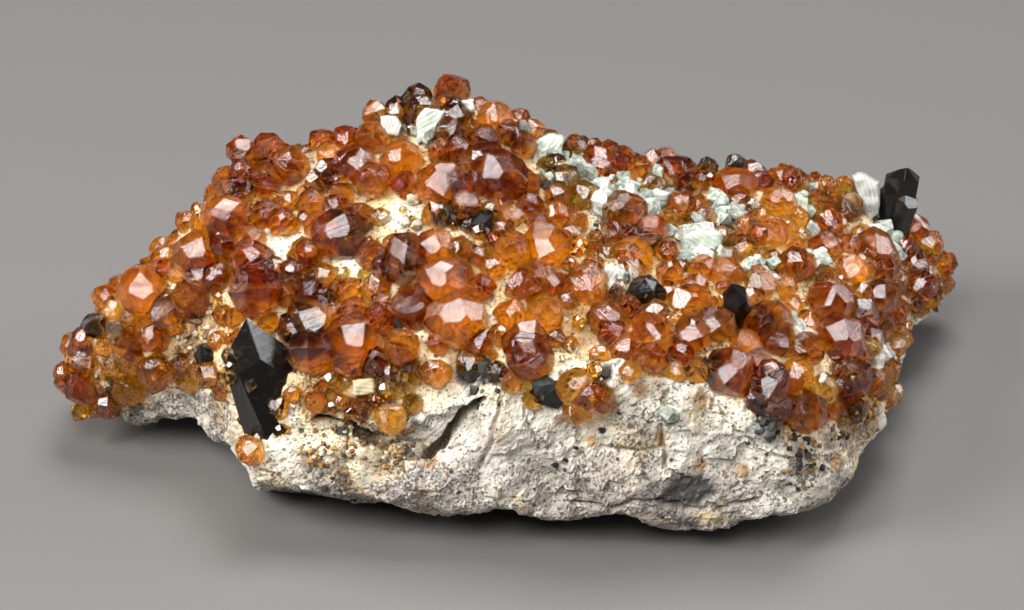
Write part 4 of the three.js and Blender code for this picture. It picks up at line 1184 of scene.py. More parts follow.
# %% [markdown]
# ## Garnets behind the rim
# The view doesn't show the back, but the crust wraps over the rim there. These crystals are spread
# evenly along the rim, at depths and sizes from the same fixed fractions. Each comes from far behind,
# down towards the front, and is kept where it meets a part of the rock that faces back.

# %% Rear garnets
REAR_COUNT = 24
REAR_SPAN = (-46.0, 49.5)
REAR_DEPTH = 9.0
REAR_SIZES = (3.0, 4.8)
REAR_TONES = "modambrm"
downward = np.array([0.0, -math.cos(VIEW_ELEVATION), -math.sin(VIEW_ELEVATION)])
for i in range(REAR_COUNT):
    x = REAR_SPAN[0] + (REAR_SPAN[1] - REAR_SPAN[0]) * (i + 0.5) / REAR_COUNT
    drop = REAR_DEPTH * ((i * GOLDEN[0]) % 1)
    size = REAR_SIZES[0] + (REAR_SIZES[1] - REAR_SIZES[0]) * ((i * GOLDEN[1]) % 1)
    rim = np.interp(x, station_x, rings[:, RIM, 1])
    start = np.array([x, 45.0, rim - drop]) - downward * 100
    hit, normal, _, _ = rock_tree.ray_cast(Vector(start), Vector(downward))
    if hit is not None and normal.y > 0:
        middle = np.array(hit) + np.array(normal) * SUNK_SHARE * size / 2
        garnets.append(garnet_copy(middle, size, REAR_TONES[i % len(REAR_TONES)], i))
print("garnets with places, the rear ones too:", len(garnets))

# %% [markdown]
# ## Where the feldspar blades stand
# Pale blades and blocks of feldspar stand between the garnets. Their outlines are set before the small
# garnets are strewn, so that none grows through a blade.

# %% Blades and blocks of feldspar, by their outlines
# Outline in the view, how far the piece stands out, and the direction of its cleavage steps.
FELDSPAR = {
    "blade_peak": ([(417, 146), (414, 120), (424, 106), (446, 110), (443, 132)], 1.6, 60, "mint"),
    "block_rim": ([(380, 135), (379, 116), (398, 113), (403, 126), (400, 137)], 1.6, 20, "white"),
    "block_peak": ([(457, 113), (459, 100), (474, 99), (476, 113)], 2.0, 100, "white"),
    "plates_rim": ([(530, 176), (532, 142), (548, 132), (566, 136), (563, 152), (540, 178)], 1.2, 40,
                   "mint"),
    "blade_striped": ([(598, 213), (599, 180), (610, 177), (612, 205), (606, 214)], 1.6, 10, "silver"),
    "blade_mint": ([(612, 203), (616, 184), (630, 178), (642, 184), (634, 198)], 1.2, 130, "mint"),
    "plate_silver": ([(638, 213), (642, 194), (656, 187), (672, 192), (668, 205), (650, 216)], 1.4, 80,
                     "silver"),
    "plate_centre": ([(680, 262), (679, 236), (700, 227), (724, 232), (722, 246), (700, 262)], 1.6, 120,
                     "mint"),
    "plate_white": ([(600, 277), (600, 270), (613, 261), (620, 274), (607, 301)], 1.8, 30, "white"),
    "arc": ([(738, 267), (752, 259), (768, 266), (778, 284), (770, 288), (752, 274)], 0.9, 50, "mint"),
    "plate_far": ([(715, 222), (718, 205), (736, 206), (733, 222)], 1.6, 70, "mint"),
    "block_far": ([(794, 221), (797, 195), (809, 196), (808, 222)], 1.6, 15, "mint"),
    "pillar": ([(852, 176), (862, 171), (879, 181), (882, 193), (880, 216), (868, 223), (860, 202),
                (855, 188)], 1.8, 165, "silver"),
    "blade_long": ([(866, 224), (880, 221), (894, 240), (904, 250), (894, 253), (868, 240)], 1.2, 40,
                   "mint"),
    "plate_bright": ([(805, 262), (812, 256), (822, 262), (816, 276), (806, 274)], 1.6, 140, "white"),
    "fan": ([(783, 324), (790, 321), (806, 332), (801, 342), (786, 343)], 1.5, 60, "white"),
    "block_edge": ([(870, 350), (885, 344), (893, 358), (884, 364), (875, 362)], 1.6, 20, "white"),
    "block_ledge": ([(351, 379), (376, 377), (376, 394), (353, 398)], 1.0, 95, "cream"),
}
blade_middles = {name: np.mean(row[0], axis=0) for name, row in FELDSPAR.items()}
print("blades and blocks:", len(FELDSPAR))

# %% [markdown]
# ## Where the crust has room
# Between the listed crystals the crust is paved with smaller ones, but never on the bare feldspar or
# under a blade. These are the places to keep clear.

# %% Where small garnets may grow
# Spots without garnets: across, down and radius in the view.
BARE_SPOTS = [
    (400, 212, 20), (285, 250, 20), (105, 303, 9), (133, 309, 12), (345, 265, 13), (195, 325, 24),
    (485, 320, 10), (578, 322, 20), (403, 300, 12), (795, 332, 11), (182, 345, 16), (475, 240, 8),
    (820, 363, 9), (882, 353, 10), (365, 388, 12), (350, 262, 9), (372, 275, 7), (392, 300, 8),
    (402, 330, 8), (412, 352, 8), (385, 200, 10), (425, 232, 10), (600, 205, 12), (560, 168, 12),
    (645, 203, 11), (700, 245, 16), (757, 272, 9), (812, 265, 9), (605, 275, 9), (430, 125, 10),
]
BLADE_SHARE = 0.95
# The crust, by place round the section: the upper side, and more of the front at the two ends.
UPPER_SIDE, LEFT_SIDE, RIGHT_SIDE = (5.05, 8.75), (2.6, 9.0), (2.2, 8.9)
LEFT_LOBE_END, RIGHT_END_START = -30.5, 40.5
_, column_at = np.meshgrid(np.arange(rows), fine_around, indexing="ij")


def between(limits):
    """True where the place round the section lies between two limits."""
    return (column_at > limits[0]) & (column_at < limits[1])


crust = between(UPPER_SIDE)
crust |= (fine[..., 0] < LEFT_LOBE_END) & between(LEFT_SIDE)
crust |= (fine[..., 0] > RIGHT_END_START) & between(RIGHT_SIDE)
row_gap = np.linalg.norm(np.gradient(fine, axis=0), axis=2)
ring_gap = np.linalg.norm(np.gradient(fine, axis=1), axis=2)
weight = (row_gap * ring_gap * crust).ravel()
bare_places = [(rock_at(across, down, fine_tree)[0], radius / PIXELS_PER_MM)
               for across, down, radius in BARE_SPOTS]
for name, (outline, *_) in FELDSPAR.items():
    reach = max(math.hypot(*(np.array(corner) - blade_middles[name])) for corner in outline)
    bare_places.append((rock_at(*blade_middles[name])[0], BLADE_SHARE * reach / PIXELS_PER_MM))
bare_middles = np.array([middle for middle, _ in bare_places])
bare_radii = np.array([radius for _, radius in bare_places])
print("bare places:", len(bare_places), "crust points:", int(crust.sum()))

# %% [markdown]
# ## Filling the crust
# The small garnets are dropped on the fine skin at seeded places, the larger round first. Each place is
# as likely as its share of the crust's area, and a crystal stays only where there is room.

# %% Small garnets
# Two rounds: how many are tried, sizes, how far the middle stands out, and how deep they may
# grow into their neighbours. Both are shares of the size.
FILL_ROUNDS = [(1500, 2.3, 3.7, 0.10, 0.20), (1500, 1.1, 2.2, 0.16, 0.10)]
FILL_TONES = "mmmaaadroamam"
BARE_MARGIN = 0.42
ROOM_SHARE = 0.6
SIZE_POWER = 1.2
fill_dice = np.random.default_rng(11)
taken = [g["place"] for g in garnets]
taken_radii = [g["radius"] for g in garnets]
fillers = []
for count, smallest, largest, proud, overlap in FILL_ROUNDS:
    chosen = fill_dice.choice(len(weight), count, replace=False, p=weight / weight.sum())
    for n, index in enumerate(chosen):
        point = fine_flat[index]
        size = smallest + (largest - smallest) * fill_dice.random() ** SIZE_POWER
        if np.any(np.linalg.norm(bare_middles - point, axis=1) < bare_radii + BARE_MARGIN * size):
            continue
        place = point + normal_flat[index] * proud * size
        gap = np.linalg.norm(np.array(taken) - place, axis=1) - np.array(taken_radii)
        if gap.min() < (0.5 - overlap) * size * ROOM_SHARE:
            continue
        taken.append(place)
        taken_radii.append(size / 2)
        tone = FILL_TONES[int(fill_dice.integers(len(FILL_TONES)))]
        fillers.append(garnet_copy(place, size, tone, n + 0.37))
print("small garnets:", len(fillers))

# %% [markdown]
# ## Which garnets stand for which solids
# Each solid group of garnets is replaced by the crystals whose middles lie in it. A point is inside a
# closed mesh when the solid angles of its triangles, seen from the point, add up to a full turn.

# %% Which crystals lie in which solid
def inside(node, points):
    """Sum of the signed solid angles of all triangles over 4 pi: near 1 inside and near 0 outside."""
    mesh = node.data
    mesh.calc_loop_triangles()
    corners = np.zeros(len(mesh.vertices) * 3, np.float32)
    mesh.vertices.foreach_get("co", corners)
    index = np.zeros(len(mesh.loop_triangles) * 3, np.int32)
    mesh.loop_triangles.foreach_get("vertices", index)
    tri = corners.reshape(-1, 3)[index.reshape(-1, 3)].astype(float)
    a, b, c = (tri[None, :, k] - points[:, None] for k in range(3))
    la, lb, lc = (np.linalg.norm(v, axis=2) for v in (a, b, c))
    top = np.sum(a * np.cross(b, c), axis=2)
    low = (la * lb * lc + np.sum(a * b, 2) * lc + np.sum(b * c, 2) * la + np.sum(c * a, 2) * lb)
    return np.sum(2 * np.arctan2(top, low), axis=1) / (4 * math.pi)


centres = to_metres([g["place"] for g in garnets])
cluster_names = sorted(name for name in nodes if name.startswith("garnet_cluster_"))
owner = np.full(len(garnets), -1)
for n, name in enumerate(cluster_names):
    owner[inside(nodes[name], centres) > 0.5] = n
print("garnets in solids:", int((owner >= 0).sum()), "others:", int((owner < 0).sum()))

# %% [markdown]
# ## Garnets as pieces
# Each group that stands for a solid is one piece. The other crystals are joined by their place along
# the specimen, so that no piece grows too large.

# %% Groups and regions
for n, name in enumerate(cluster_names):
    members = [g for g, o in zip(garnets, owner) if o == n]
    if not members:
        print("no garnet in", name)
        continue
    piece = join_copies("garnets_" + name[-2:], members, garnet_looks)
    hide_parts(name)
    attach(piece, "root")
# From where to where along the specimen, in mm.
REGIONS = {"left_lobe": (-99, -31), "left": (-31, -12), "middle_left": (-12, 2),
           "middle_right": (2, 16), "right": (16, 31), "right_end": (31, 99)}
loose = [g for g, o in zip(garnets, owner) if o < 0]
for region, (low, high) in REGIONS.items():
    for label, group in (("garnets", loose), ("small_garnets", fillers)):
        members = [g for g in group if low <= g["place"][0] < high]
        piece = join_copies(f"{label}_{region}", members, garnet_looks)
        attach(piece, "root")
print("groups:", len(cluster_names), "regions:", len(REGIONS))

# %% [markdown]
# ## Feldspar blades
# Pale green and white feldspar grew as stacked plates. Each is a front face on a polar grid, how far
# from the middle and which way, that drops in small cleavage steps, then a wall down into the rock.
# A flat slab of the same outline would look like card, and the steps are what makes it mineral.

# %% Outline of a blade
OUTLINE_POINTS = 72


def ragged_outline(outline, seed):
    """The polygon's sides at even steps, moved in and out a little by noise."""
    closed = np.array(list(outline) + [outline[0]], float)
    lengths = np.linalg.norm(np.diff(closed, axis=0), axis=1)
    walked = np.concatenate([[0], np.cumsum(lengths)])
    at = np.linspace(0, walked[-1], OUTLINE_POINTS, endpoint=False)
    line = np.stack([np.interp(at, walked, closed[:, k]) for k in range(2)], 1)
    middle = np.mean(outline, axis=0)
    probe = np.concatenate([line * 0.35, np.full((OUTLINE_POINTS, 1), float(seed))], 1)
    grow = 1 + 0.06 * noise(probe, 1.3, seed) + 0.05 * noise(probe, 3.1, seed + 1)
    return middle, middle + (line - middle) * grow[:, None]


print("an outline has", len(ragged_outline(FELDSPAR["fan"][0], 0)[1]), "points")

# %% [markdown]
# ## A blade's face and wall
# The face is a set of rings, each the outline drawn in towards its middle. Every ring lies on the lines
# of sight through it, so the blade keeps its outline in the view. The wall widens a little as it goes
# down, and ends below the skin of the rock.

# %% Blade surface
# In mm: how deep the wall goes, how much farther out the face stands, and the depth of its steps.
BLADE_ROOT = 4.0
BLADE_PROUD = 0.9
STEP_DEPTH = 0.11
WAVE_DEPTH = 0.22
ROUNDED_EDGE = 0.35
BLADE_TAPER = 0.9
FACE_RINGS = 18
WALL_RINGS = 6
# Width of a step and the size of the noise's squares, in the view.
STEP_WIDTH = 4.2
NOISE_SCALE = 0.11


def sight_lines(places):
    """Lines from the eye through places in the view, one long in depth: look plus the two offsets."""
    return (look + right * ((places[..., :1] - VIEW_CENTRE[0]) / focal)
            + up * ((VIEW_CENTRE[1] - places[..., 1:]) / focal))


def blade_surface(outline, stand, cleavage, seed):
    """Point (r, angle) of the face: the outline scaled by r, towards the eye by the stand, less a
    saw-tooth along the cleavage direction. The wall keeps r at 1 and goes back into the rock."""
    middle, edge = ragged_outline(outline, seed)
    stand = stand + BLADE_PROUD
    point, _, line = rock_at(*np.mean(outline, axis=0))
    depth = np.linalg.norm(point - eye)
    r = np.linspace(0, 1, FACE_RINGS + 1)[1:]
    across = middle + (edge - middle)[None] * r[:, None, None] * BLADE_TAPER
    way = np.array([math.cos(math.radians(cleavage)), math.sin(math.radians(cleavage))])
    probe = np.concatenate([across * NOISE_SCALE, np.zeros(across.shape[:2] + (1,))], 2)
    run = across @ way / STEP_WIDTH
    run = run + 0.35 * noise(probe, 1.5, seed)
    saw = run - np.floor(run)
    drop = STEP_DEPTH * saw + WAVE_DEPTH * noise(probe, 0.9, seed + 3)
    shift = -stand + drop + ROUNDED_EDGE * r[:, None] ** 8
    wall = np.linspace(0, 1, WALL_RINGS + 1)[1:]
    wall_across = middle + (edge - middle)[None] * (BLADE_TAPER + (1 - BLADE_TAPER) * wall[:, None, None])
    wall_shift = shift[-1][None] + (BLADE_ROOT - shift[-1][None]) * wall[:, None]
    places = np.concatenate([across, wall_across])
    shifts = np.concatenate([shift, wall_shift])
    reach = (depth + shifts) * float(line @ look)
    points = eye + sight_lines(places) * reach[..., None]
    front = eye + sight_lines(middle) * (depth - stand) * float(line @ look)
    back = points[-1].mean(0)
    stripe = np.concatenate([run, np.broadcast_to(run[-1], wall_across.shape[:2])])
    return points, front, back, stripe, float(middle @ way / STEP_WIDTH)


def closed_rings(points, front, back):
    """Faces of stacked rings with a fan at each end."""
    rings_count, size = points.shape[:2]
    ring = np.arange(size)
    after = np.roll(ring, -1)
    r = np.arange(rings_count - 1)[:, None] * size
    faces = np.stack([r + ring, r + after, r + size + after, r + size + ring], 2).reshape(-1, 4)
    total = rings_count * size
    fan_front = np.stack([np.full(size, total), after, ring], 1)
    last = (rings_count - 1) * size
    fan_back = np.stack([last + ring, last + after, np.full(size, total + 1)], 1)
    corners = np.concatenate([faces.ravel(), fan_front.ravel(), fan_back.ravel()])
    starts = np.concatenate([np.arange(len(faces)) * 4, len(faces) * 4 + np.arange(2 * size) * 3])
    flat = np.concatenate([points.reshape(-1, 3), [front, back]])
    return flat, corners, starts


print("rings of a blade:", FACE_RINGS + WALL_RINGS)

# %% [markdown]
# ## Blade finishes
# Cleaved feldspar shines in thin lines, where the edges of its plates come to the surface. The mesh
# carries the run of its steps as an attribute, so the lines in the colour and in the bump follow the
# steps of each blade. The lighter lines in the colour are painted shine, and the bump catches real
# light. Four finishes cover the pale green, grey, white and iron-stained ones.

# %% Blade finishes
# Middle, light and dark colour of each finish.
BLADE_COLOURS = {
    "mint": ((0.44, 0.51, 0.43), (0.62, 0.67, 0.59), (0.16, 0.18, 0.16)),
    "silver": ((0.38, 0.40, 0.38), (0.58, 0.59, 0.56), (0.12, 0.12, 0.11)),
    "white": ((0.60, 0.58, 0.52), (0.76, 0.74, 0.67), (0.36, 0.33, 0.27)),
    "cream": ((0.58, 0.47, 0.27), (0.68, 0.59, 0.40), (0.34, 0.24, 0.12)),
}


def blade_material(name, middle, light, dark):
    """Thin light and dark lines along the cleavage, clouded by noise. The light lines are painted shine.
    """
    m = Nodes("feldspar_" + name)
    cloud = m.grainy(700.0, 5.0, 0.6)
    lines = m.lines(m.times(m.attribute("stripe"), 3.0), m.times(cloud, 1.2), 4.0, 0.65)
    # Painted shine: lighter lines along the cleavage steps.
    colour = m.blend(m.band(lines, 0.28, 0.74), rgba(middle), rgba(light))
    colour = m.blend(m.times(m.band(lines, 0.36, 0.24), 0.2), colour, rgba(dark))
    spots = m.band(m.grainy(1900.0, 3.0, 0.6), 0.64, 0.74)
    colour = m.blend(m.times(spots, 0.7), colour, rgba(dark))
    first = m.bump(lines, 0.5, 0.00014)
    m.set(Base_Color=colour, Roughness=m.band(cloud, 0.3, 0.7, 0.35, 0.65),
          Normal=m.bump(m.grainy(2600.0, 3.0), 0.35, 0.0001, first), Specular_IOR_Level=0.5)
    return m.material


blade_looks = {name: blade_material(name, *values) for name, values in BLADE_COLOURS.items()}
print("blade finishes:", list(blade_looks))

# %% [markdown]
# ## The blades in place
# Each blade gets its own seed, so no two have the same ragged edge or steps. The rings are closed by a
# fan in front and one at the root, and each piece stands for the solid of its name.

# %% The blades as pieces
for seed, (name, (outline, stand, cleavage, finish)) in enumerate(FELDSPAR.items()):
    points, front, back, stripe, middle_stripe = blade_surface(outline, stand, cleavage, seed * 7 + 100)
    flat, corners, starts = closed_rings(points, front, back)
    piece = make_piece(name, flat, corners, starts, [blade_looks[finish]], smooth=True, values={
        "stripe": np.concatenate([stripe.ravel(), [middle_stripe, stripe[-1].mean()]])})
    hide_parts("feldspar_" + name)
    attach(piece, "root")
print("feldspar pieces:", len(FELDSPAR))

# %% [markdown]
# ## Smoky quartz
# Quartz is a six-sided prism with a six-sided point. The crystals stand out of the rock, so each is
# given by its foot and its tip in the view, with how far back each lies. Where a crystal has companions
# that grew against it, they are in the same row and become one piece with it.

# %% Feet and tips of the quartz crystals
# Base and tip as (across, down, y), width, roll, share of the point, and which face of it is largest.
QUARTZ = {
    "smoky_quartz_large": [],
    "smoky_quartz_rear": [((896, 213, 47.3), (904, 170, 47.8), 4.2, 20, 0.30, 1),
                          ((890, 214, 46.6), (891, 185, 46.8), 2.6, 5, 0.35, 0),
                          ((901, 216, 46.0), (909, 195, 46.0), 2.8, 33, 0.35, 4)],
    "smoky_quartz_centre": [((646, 312, 16.5), (641, 280, 15), 3.5, 5, 0.3, 2),
                            ((655, 310, 16.6), (656, 287, 15.4), 2.4, 25, 0.35, 1)],
    "smoky_quartz_small": [((740, 313, 14), (732, 289, 12), 2.8, 30, 0.5, 3)],
    "smoky_quartz_left": [((216, 372, 19), (204, 346, 16.5), 2.8, 15, 0.35, 0)],
    "smoky_quartz_lobe": [((96, 330, 27), (88, 322, 21), 2.0, 40, 0.4, 1)],
    "smoky_quartz_rim": [((541, 158, 37), (539, 141, 36), 2.1, 0, 0.4, 2)],
    "clear_quartz_lobe": [((120, 334, 27), (111, 325, 20), 2.0, 10, 0.5, 3)],
}
LARGE = "smoky_quartz_large"


def point_at_y(across, down, y):
    """The point seen at a place in the view, at a given y."""
    line = sight_line(across, down)
    return eye + line * (y - eye[1]) / line[1]


print("quartz crystals:", sum(len(row) for row in QUARTZ.values()) + 1, "in", len(QUARTZ), "pieces")

# %% [markdown]
# ## The large crystal, corner by corner
# The large smoky quartz is distorted, as most are: its faces are uneven and one is much the brightest.
# Planes would be hard to guess for it, but its corners show in the view. So each corner is set on its
# line of sight, by how far in front of the crystal's axis it lies. The corners of the bright face need
# no depth of their own, because they lie in its plane.

# %% The large quartz
# Foot and tip of the axis: across, down and y.
LARGE_FOOT = (281, 438, 8.5)
LARGE_TIP = (249, 318, 11.5)
LARGE_FACE = (0.58, -0.54, 0.62)
# Across, down, and mm in front of the axis. Capitals show, and small letters are on the hidden side.
LARGE_CORNERS = {
    "T": (246, 318, 0.0), "A": (283, 343), "B": (286, 357), "C": (272, 367), "D": (261, 360),
    "L": (227, 354, -0.3), "M": (226, 373, 0.6), "E": (238, 375, 2.6), "F": (255, 472, 1.2),
    "G": (284, 478, 3.7), "R": (300, 380, 0.4), "S": (308, 412, 0.3), "H": (310, 470, 0.6),
    "k": (240, 362, -3.6), "l": (270, 366, -3.9), "m": (296, 384, -2.6), "f": (262, 470, -3.0),
    "g": (288, 472, -3.8), "h": (305, 470, -2.2),
}
LARGE_FACES = ("TDCBA TLMED EDCGF MEF CBRSG GSH ABR TAl ARml RShm SHh mhgl Tlk lgfk TkL kML kfFM "
               "FfghHG").split()
QUARTZ_EDGE = 0.03


def large_quartz():
    """Corners on their lines of sight, in front of the axis by their own depth, or where the line
    meets the plane of the bright face."""
    (_, low, low_y), (_, high, high_y) = LARGE_FOOT, LARGE_TIP
    tip = point_at_y(*LARGE_CORNERS["T"][:2], high_y)
    spots = []
    for across, down, *front in LARGE_CORNERS.values():
        if front:
            axis_y = low_y + (high_y - low_y) * (low - down) / (low - high)
            spots.append(point_at_y(across, down, axis_y - front[0]))
        else:
            line = sight_line(across, down)
            spots.append(eye + line * ((tip - eye) @ LARGE_FACE) / (line @ LARGE_FACE))
    points = np.array(spots)
    order = {key: n for n, key in enumerate(LARGE_CORNERS)}
    faces = []
    for letters in LARGE_FACES:
        face = np.array([order[letter] for letter in letters])
        outward = face_normal(points, face) @ (points[face].mean(0) - points.mean(0))
        faces.append(face if outward > 0 else face[::-1])
    points, faces, _ = softened(points, faces, QUARTZ_EDGE)
    axis = point_at_y(*LARGE_TIP) - point_at_y(*LARGE_FOOT)
    return points, points @ axis / np.linalg.norm(axis), faces


large_points, large_along, large_faces = large_quartz()
large_tree = BVHTree.FromPolygons(large_points.tolist(), [[int(n) for n in face] for face in large_faces])
print("the large quartz is", round(float(np.ptp(large_along)), 1), "mm long, with its root")

# %% [markdown]
# ## The smaller crystals
# One face of each point is the largest, and the others get smaller round to the far side. The same
# function as for garnet makes the crystal, from six upright planes and six sloping ones. The prism
# goes on for a few millimetres below its foot, so no gap shows where the rock dips.

# %% Prisms with a point
QUARTZ_SINK = 3.0
# A width is measured over the corners, and the solid's corners reach a little farther.
CORNER_REACH = 1.06
# How far out each face of the point stands, from the largest on, as a share of the radius.
POINT_UNEVEN = (0.0, 1.1, 1.6, 1.9, 1.4, 0.9)
UNEVEN_SHARE = 0.22


def quartz_form(length, radius, roll, point_share, largest):
    """Prism planes stand at the radius, and each sloping plane joins the shoulder to the tip. The farther
    round it is from the largest face, the farther out it stands, which makes it smaller."""
    flat_distance = radius * math.cos(math.pi / 6)
    rise = length * point_share
    slope = math.hypot(rise, flat_distance)
    normals, distances = [(0, 0, -1)], [QUARTZ_SINK]
    for k in range(6):
        angle = math.radians(roll + 60 * k + 30)
        normals.append((math.cos(angle), math.sin(angle), 0))
        distances.append(flat_distance)
        normal = (math.cos(angle) * rise / slope, math.sin(angle) * rise / slope, flat_distance / slope)
        normals.append(normal)
        out = UNEVEN_SHARE * POINT_UNEVEN[(k - largest) % 6] * radius
        distances.append(normal[2] * length + out)
    points, faces = crystal_form(normals, distances)
    return softened(points, faces, QUARTZ_EDGE)


def prisms(crystals):
    """Every crystal of a row, turned along its axis and moved to its foot: all their points, how far
    up its own prism each point is, and the faces."""
    all_points, along, all_faces, first = [], [], [], 0
    for base, tip, width, roll, point_share, largest in crystals:
        foot, peak = point_at_y(*base), point_at_y(*tip)
        axis = peak - foot
        length = float(np.linalg.norm(axis))
        points, faces, _ = quartz_form(length, width / 2 * CORNER_REACH, roll, point_share, largest)
        turn = turn_to(np.array([0.0, 0.0, 1.0]), axis / length)
        all_points.append(points @ turn.T + foot)
        along.append(points[:, 2])
        all_faces += [np.array(face) + first for face in faces]
        first += len(points)
    return np.concatenate(all_points), np.concatenate(along), all_faces


print("faces of a crystal with cut edges:", len(quartz_form(4.0, 1.4, 0, 0.3, 0)[1]))

# %% [markdown]
# ## Quartz material
# Smoky quartz this dark lets little light through, so it is see-through but absorbs nearly all within
# a millimetre, and looks black. Its faces carry fine lines across the prism, made as bump from the
# distance along it, with frosted patches and a thin mist on the glassy faces.

# %% Finishes of the quartz
QUARTZ_IOR = 1.54


def quartz_material(name, colour, absorbed, density, clear):
    """Dark glassy quartz: fine lines across the prism and frosted patches in the roughness."""
    m = Nodes(name)
    frost = m.grainy(650.0, 5.0, 0.65)
    mist = m.blend(m.band(m.grainy(1400.0, 4.0, 0.7), 0.58, 0.78), rgba(colour),
                   rgba(np.array(colour) * 3.5 + 0.03))
    first = m.bump(m.lines(m.times(m.attribute("growth"), 7.0)), 0.5, 0.00006)
    m.set(Base_Color=mist, IOR=QUARTZ_IOR, Transmission_Weight=clear,
          Roughness=m.band(frost, 0.50, 0.75, 0.05, 0.30),
          Normal=m.bump(m.grainy(1800.0, 3.0), 0.12, 0.00012, first))
    m.absorb(absorbed, density)
    return m.material


quartz_looks = {
    "smoky_quartz": quartz_material("smoky_quartz", (0.020, 0.017, 0.015), (0.30, 0.24, 0.19),
                                    1300.0, 0.6),
    "clear_quartz": quartz_material("clear_quartz", (0.78, 0.77, 0.74), (0.93, 0.91, 0.88),
                                    120.0, 0.88),
}
print("quartz finishes:", list(quartz_looks))

# %% [markdown]
# ## The quartz in place
# Each row becomes one mesh, with flat faces, and stands for the solid of its name.

# %% Quartz as pieces
for name, crystals in QUARTZ.items():
    if name == LARGE:
        points, along, faces = large_points, large_along, large_faces
    else:
        points, along, faces = prisms(crystals)
    totals = np.array([len(face) for face in faces])
    look_name = "clear_quartz" if name.startswith("clear") else "smoky_quartz"
    crystal = make_piece(name + "_crystal", points, np.concatenate(faces),
                         np.concatenate([[0], np.cumsum(totals)[:-1]]), [quartz_looks[look_name]],
                         smooth=False, values={"growth": along})
    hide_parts(name)
    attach(crystal, "root")
print("quartz pieces:", len(QUARTZ))

# %% [markdown]
# ## Garnets on the large crystal
# A few small garnets grew on the quartz itself. They are seated as the others are, but on its faces,
# where their lines of sight meet it.

# %% Garnets on the quartz
# Across, down, size and tone, and how far a middle stands off the face, as a share of the size.
ON_QUARTZ = [(231, 357, 1.9, "y"), (230, 376, 2.3, "y"), (251, 385, 1.3, "y"), (232, 367, 1.2, "o"),
             (262, 452, 1.7, "m"), (270, 462, 1.4, "a")]
OFF_FACE = 0.15
seated = []
for across, down, size, tone in ON_QUARTZ:
    hit, normal, _, _ = large_tree.ray_cast(Vector(eye), Vector(sight_line(across, down)))
    if hit is not None:
        seated.append(garnet_copy(np.array(hit) + np.array(normal) * OFF_FACE * size, size, tone, across))
on_quartz = join_copies("garnets_on_quartz", seated, garnet_looks)
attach(on_quartz, "root")
print("garnets on the large quartz:", len(seated))

# %% [markdown]
# ## Forms and colours of the grains
# Broken grains lie in the groove of the ledge, dark mica, hornblende and grey quartz show in the broken
# face, and pale chips of feldspar fill the crust beside the blades. All are stones cut by planes in
# seeded directions, of up to twenty faces, in six forms.

# %% Forms and colours of the grains
CRUMB_PLANES = 14
CRUMB_REACH = (0.62, 1.0)
crumb_dice = np.random.default_rng(5)


def crumb_form():
    """A stone about 2 across, cut out of a cube by fourteen planes in seeded directions."""
    normals = crumb_dice.normal(size=(CRUMB_PLANES, 3))
    normals /= np.linalg.norm(normals, axis=1, keepdims=True)
    box = np.array([(1, 0, 0), (-1, 0, 0), (0, 1, 0), (0, -1, 0), (0, 0, 1), (0, 0, -1)], float)
    distances = np.concatenate([crumb_dice.uniform(*CRUMB_REACH, CRUMB_PLANES), np.ones(6)])
    return Form(*crystal_form(np.concatenate([normals, box]), distances))


CRUMB_FORMS = [crumb_form() for _ in range(6)]
CRUMB_COLOURS = {
    "cream": (0.70, 0.60, 0.43), "brown": (0.22, 0.12, 0.055), "ochre": (0.45, 0.24, 0.06),
    "black": (0.018, 0.018, 0.020), "slate": (0.036, 0.041, 0.035), "grey": (0.20, 0.20, 0.19),
    "sage": (0.40, 0.44, 0.38), "mint": (0.47, 0.53, 0.46), "white": (0.74, 0.71, 0.64),
}
GLOSSY_GRAINS = ("black", "grey")


def crumb_material(name, colour):
    """One mineral, clouded by noise and roughened by bump."""
    m = Nodes("grain_" + name)
    dark = rgba(np.array(colour) * 0.45)
    shade = m.blend(m.band(m.grainy(1500.0, 4.0, 0.6), 0.35, 0.65), dark, rgba(np.array(colour) * 1.15))
    m.set(Base_Color=shade, Roughness=0.35 if name in GLOSSY_GRAINS else 0.7,
          Normal=m.bump(m.grainy(3000.0, 3.0), 0.4, 0.0001))
    return m.material


crumb_looks = [crumb_material(*item) for item in CRUMB_COLOURS.items()]
CRUMB_NUMBER = {name: n for n, name in enumerate(CRUMB_COLOURS)}
print("faces of the stones:", [len(form.totals) for form in CRUMB_FORMS])

# %% [markdown]
# ## Where the grains lie
# Groups are dropped round a place at seeded distances, and the single ones sit exactly where they show.

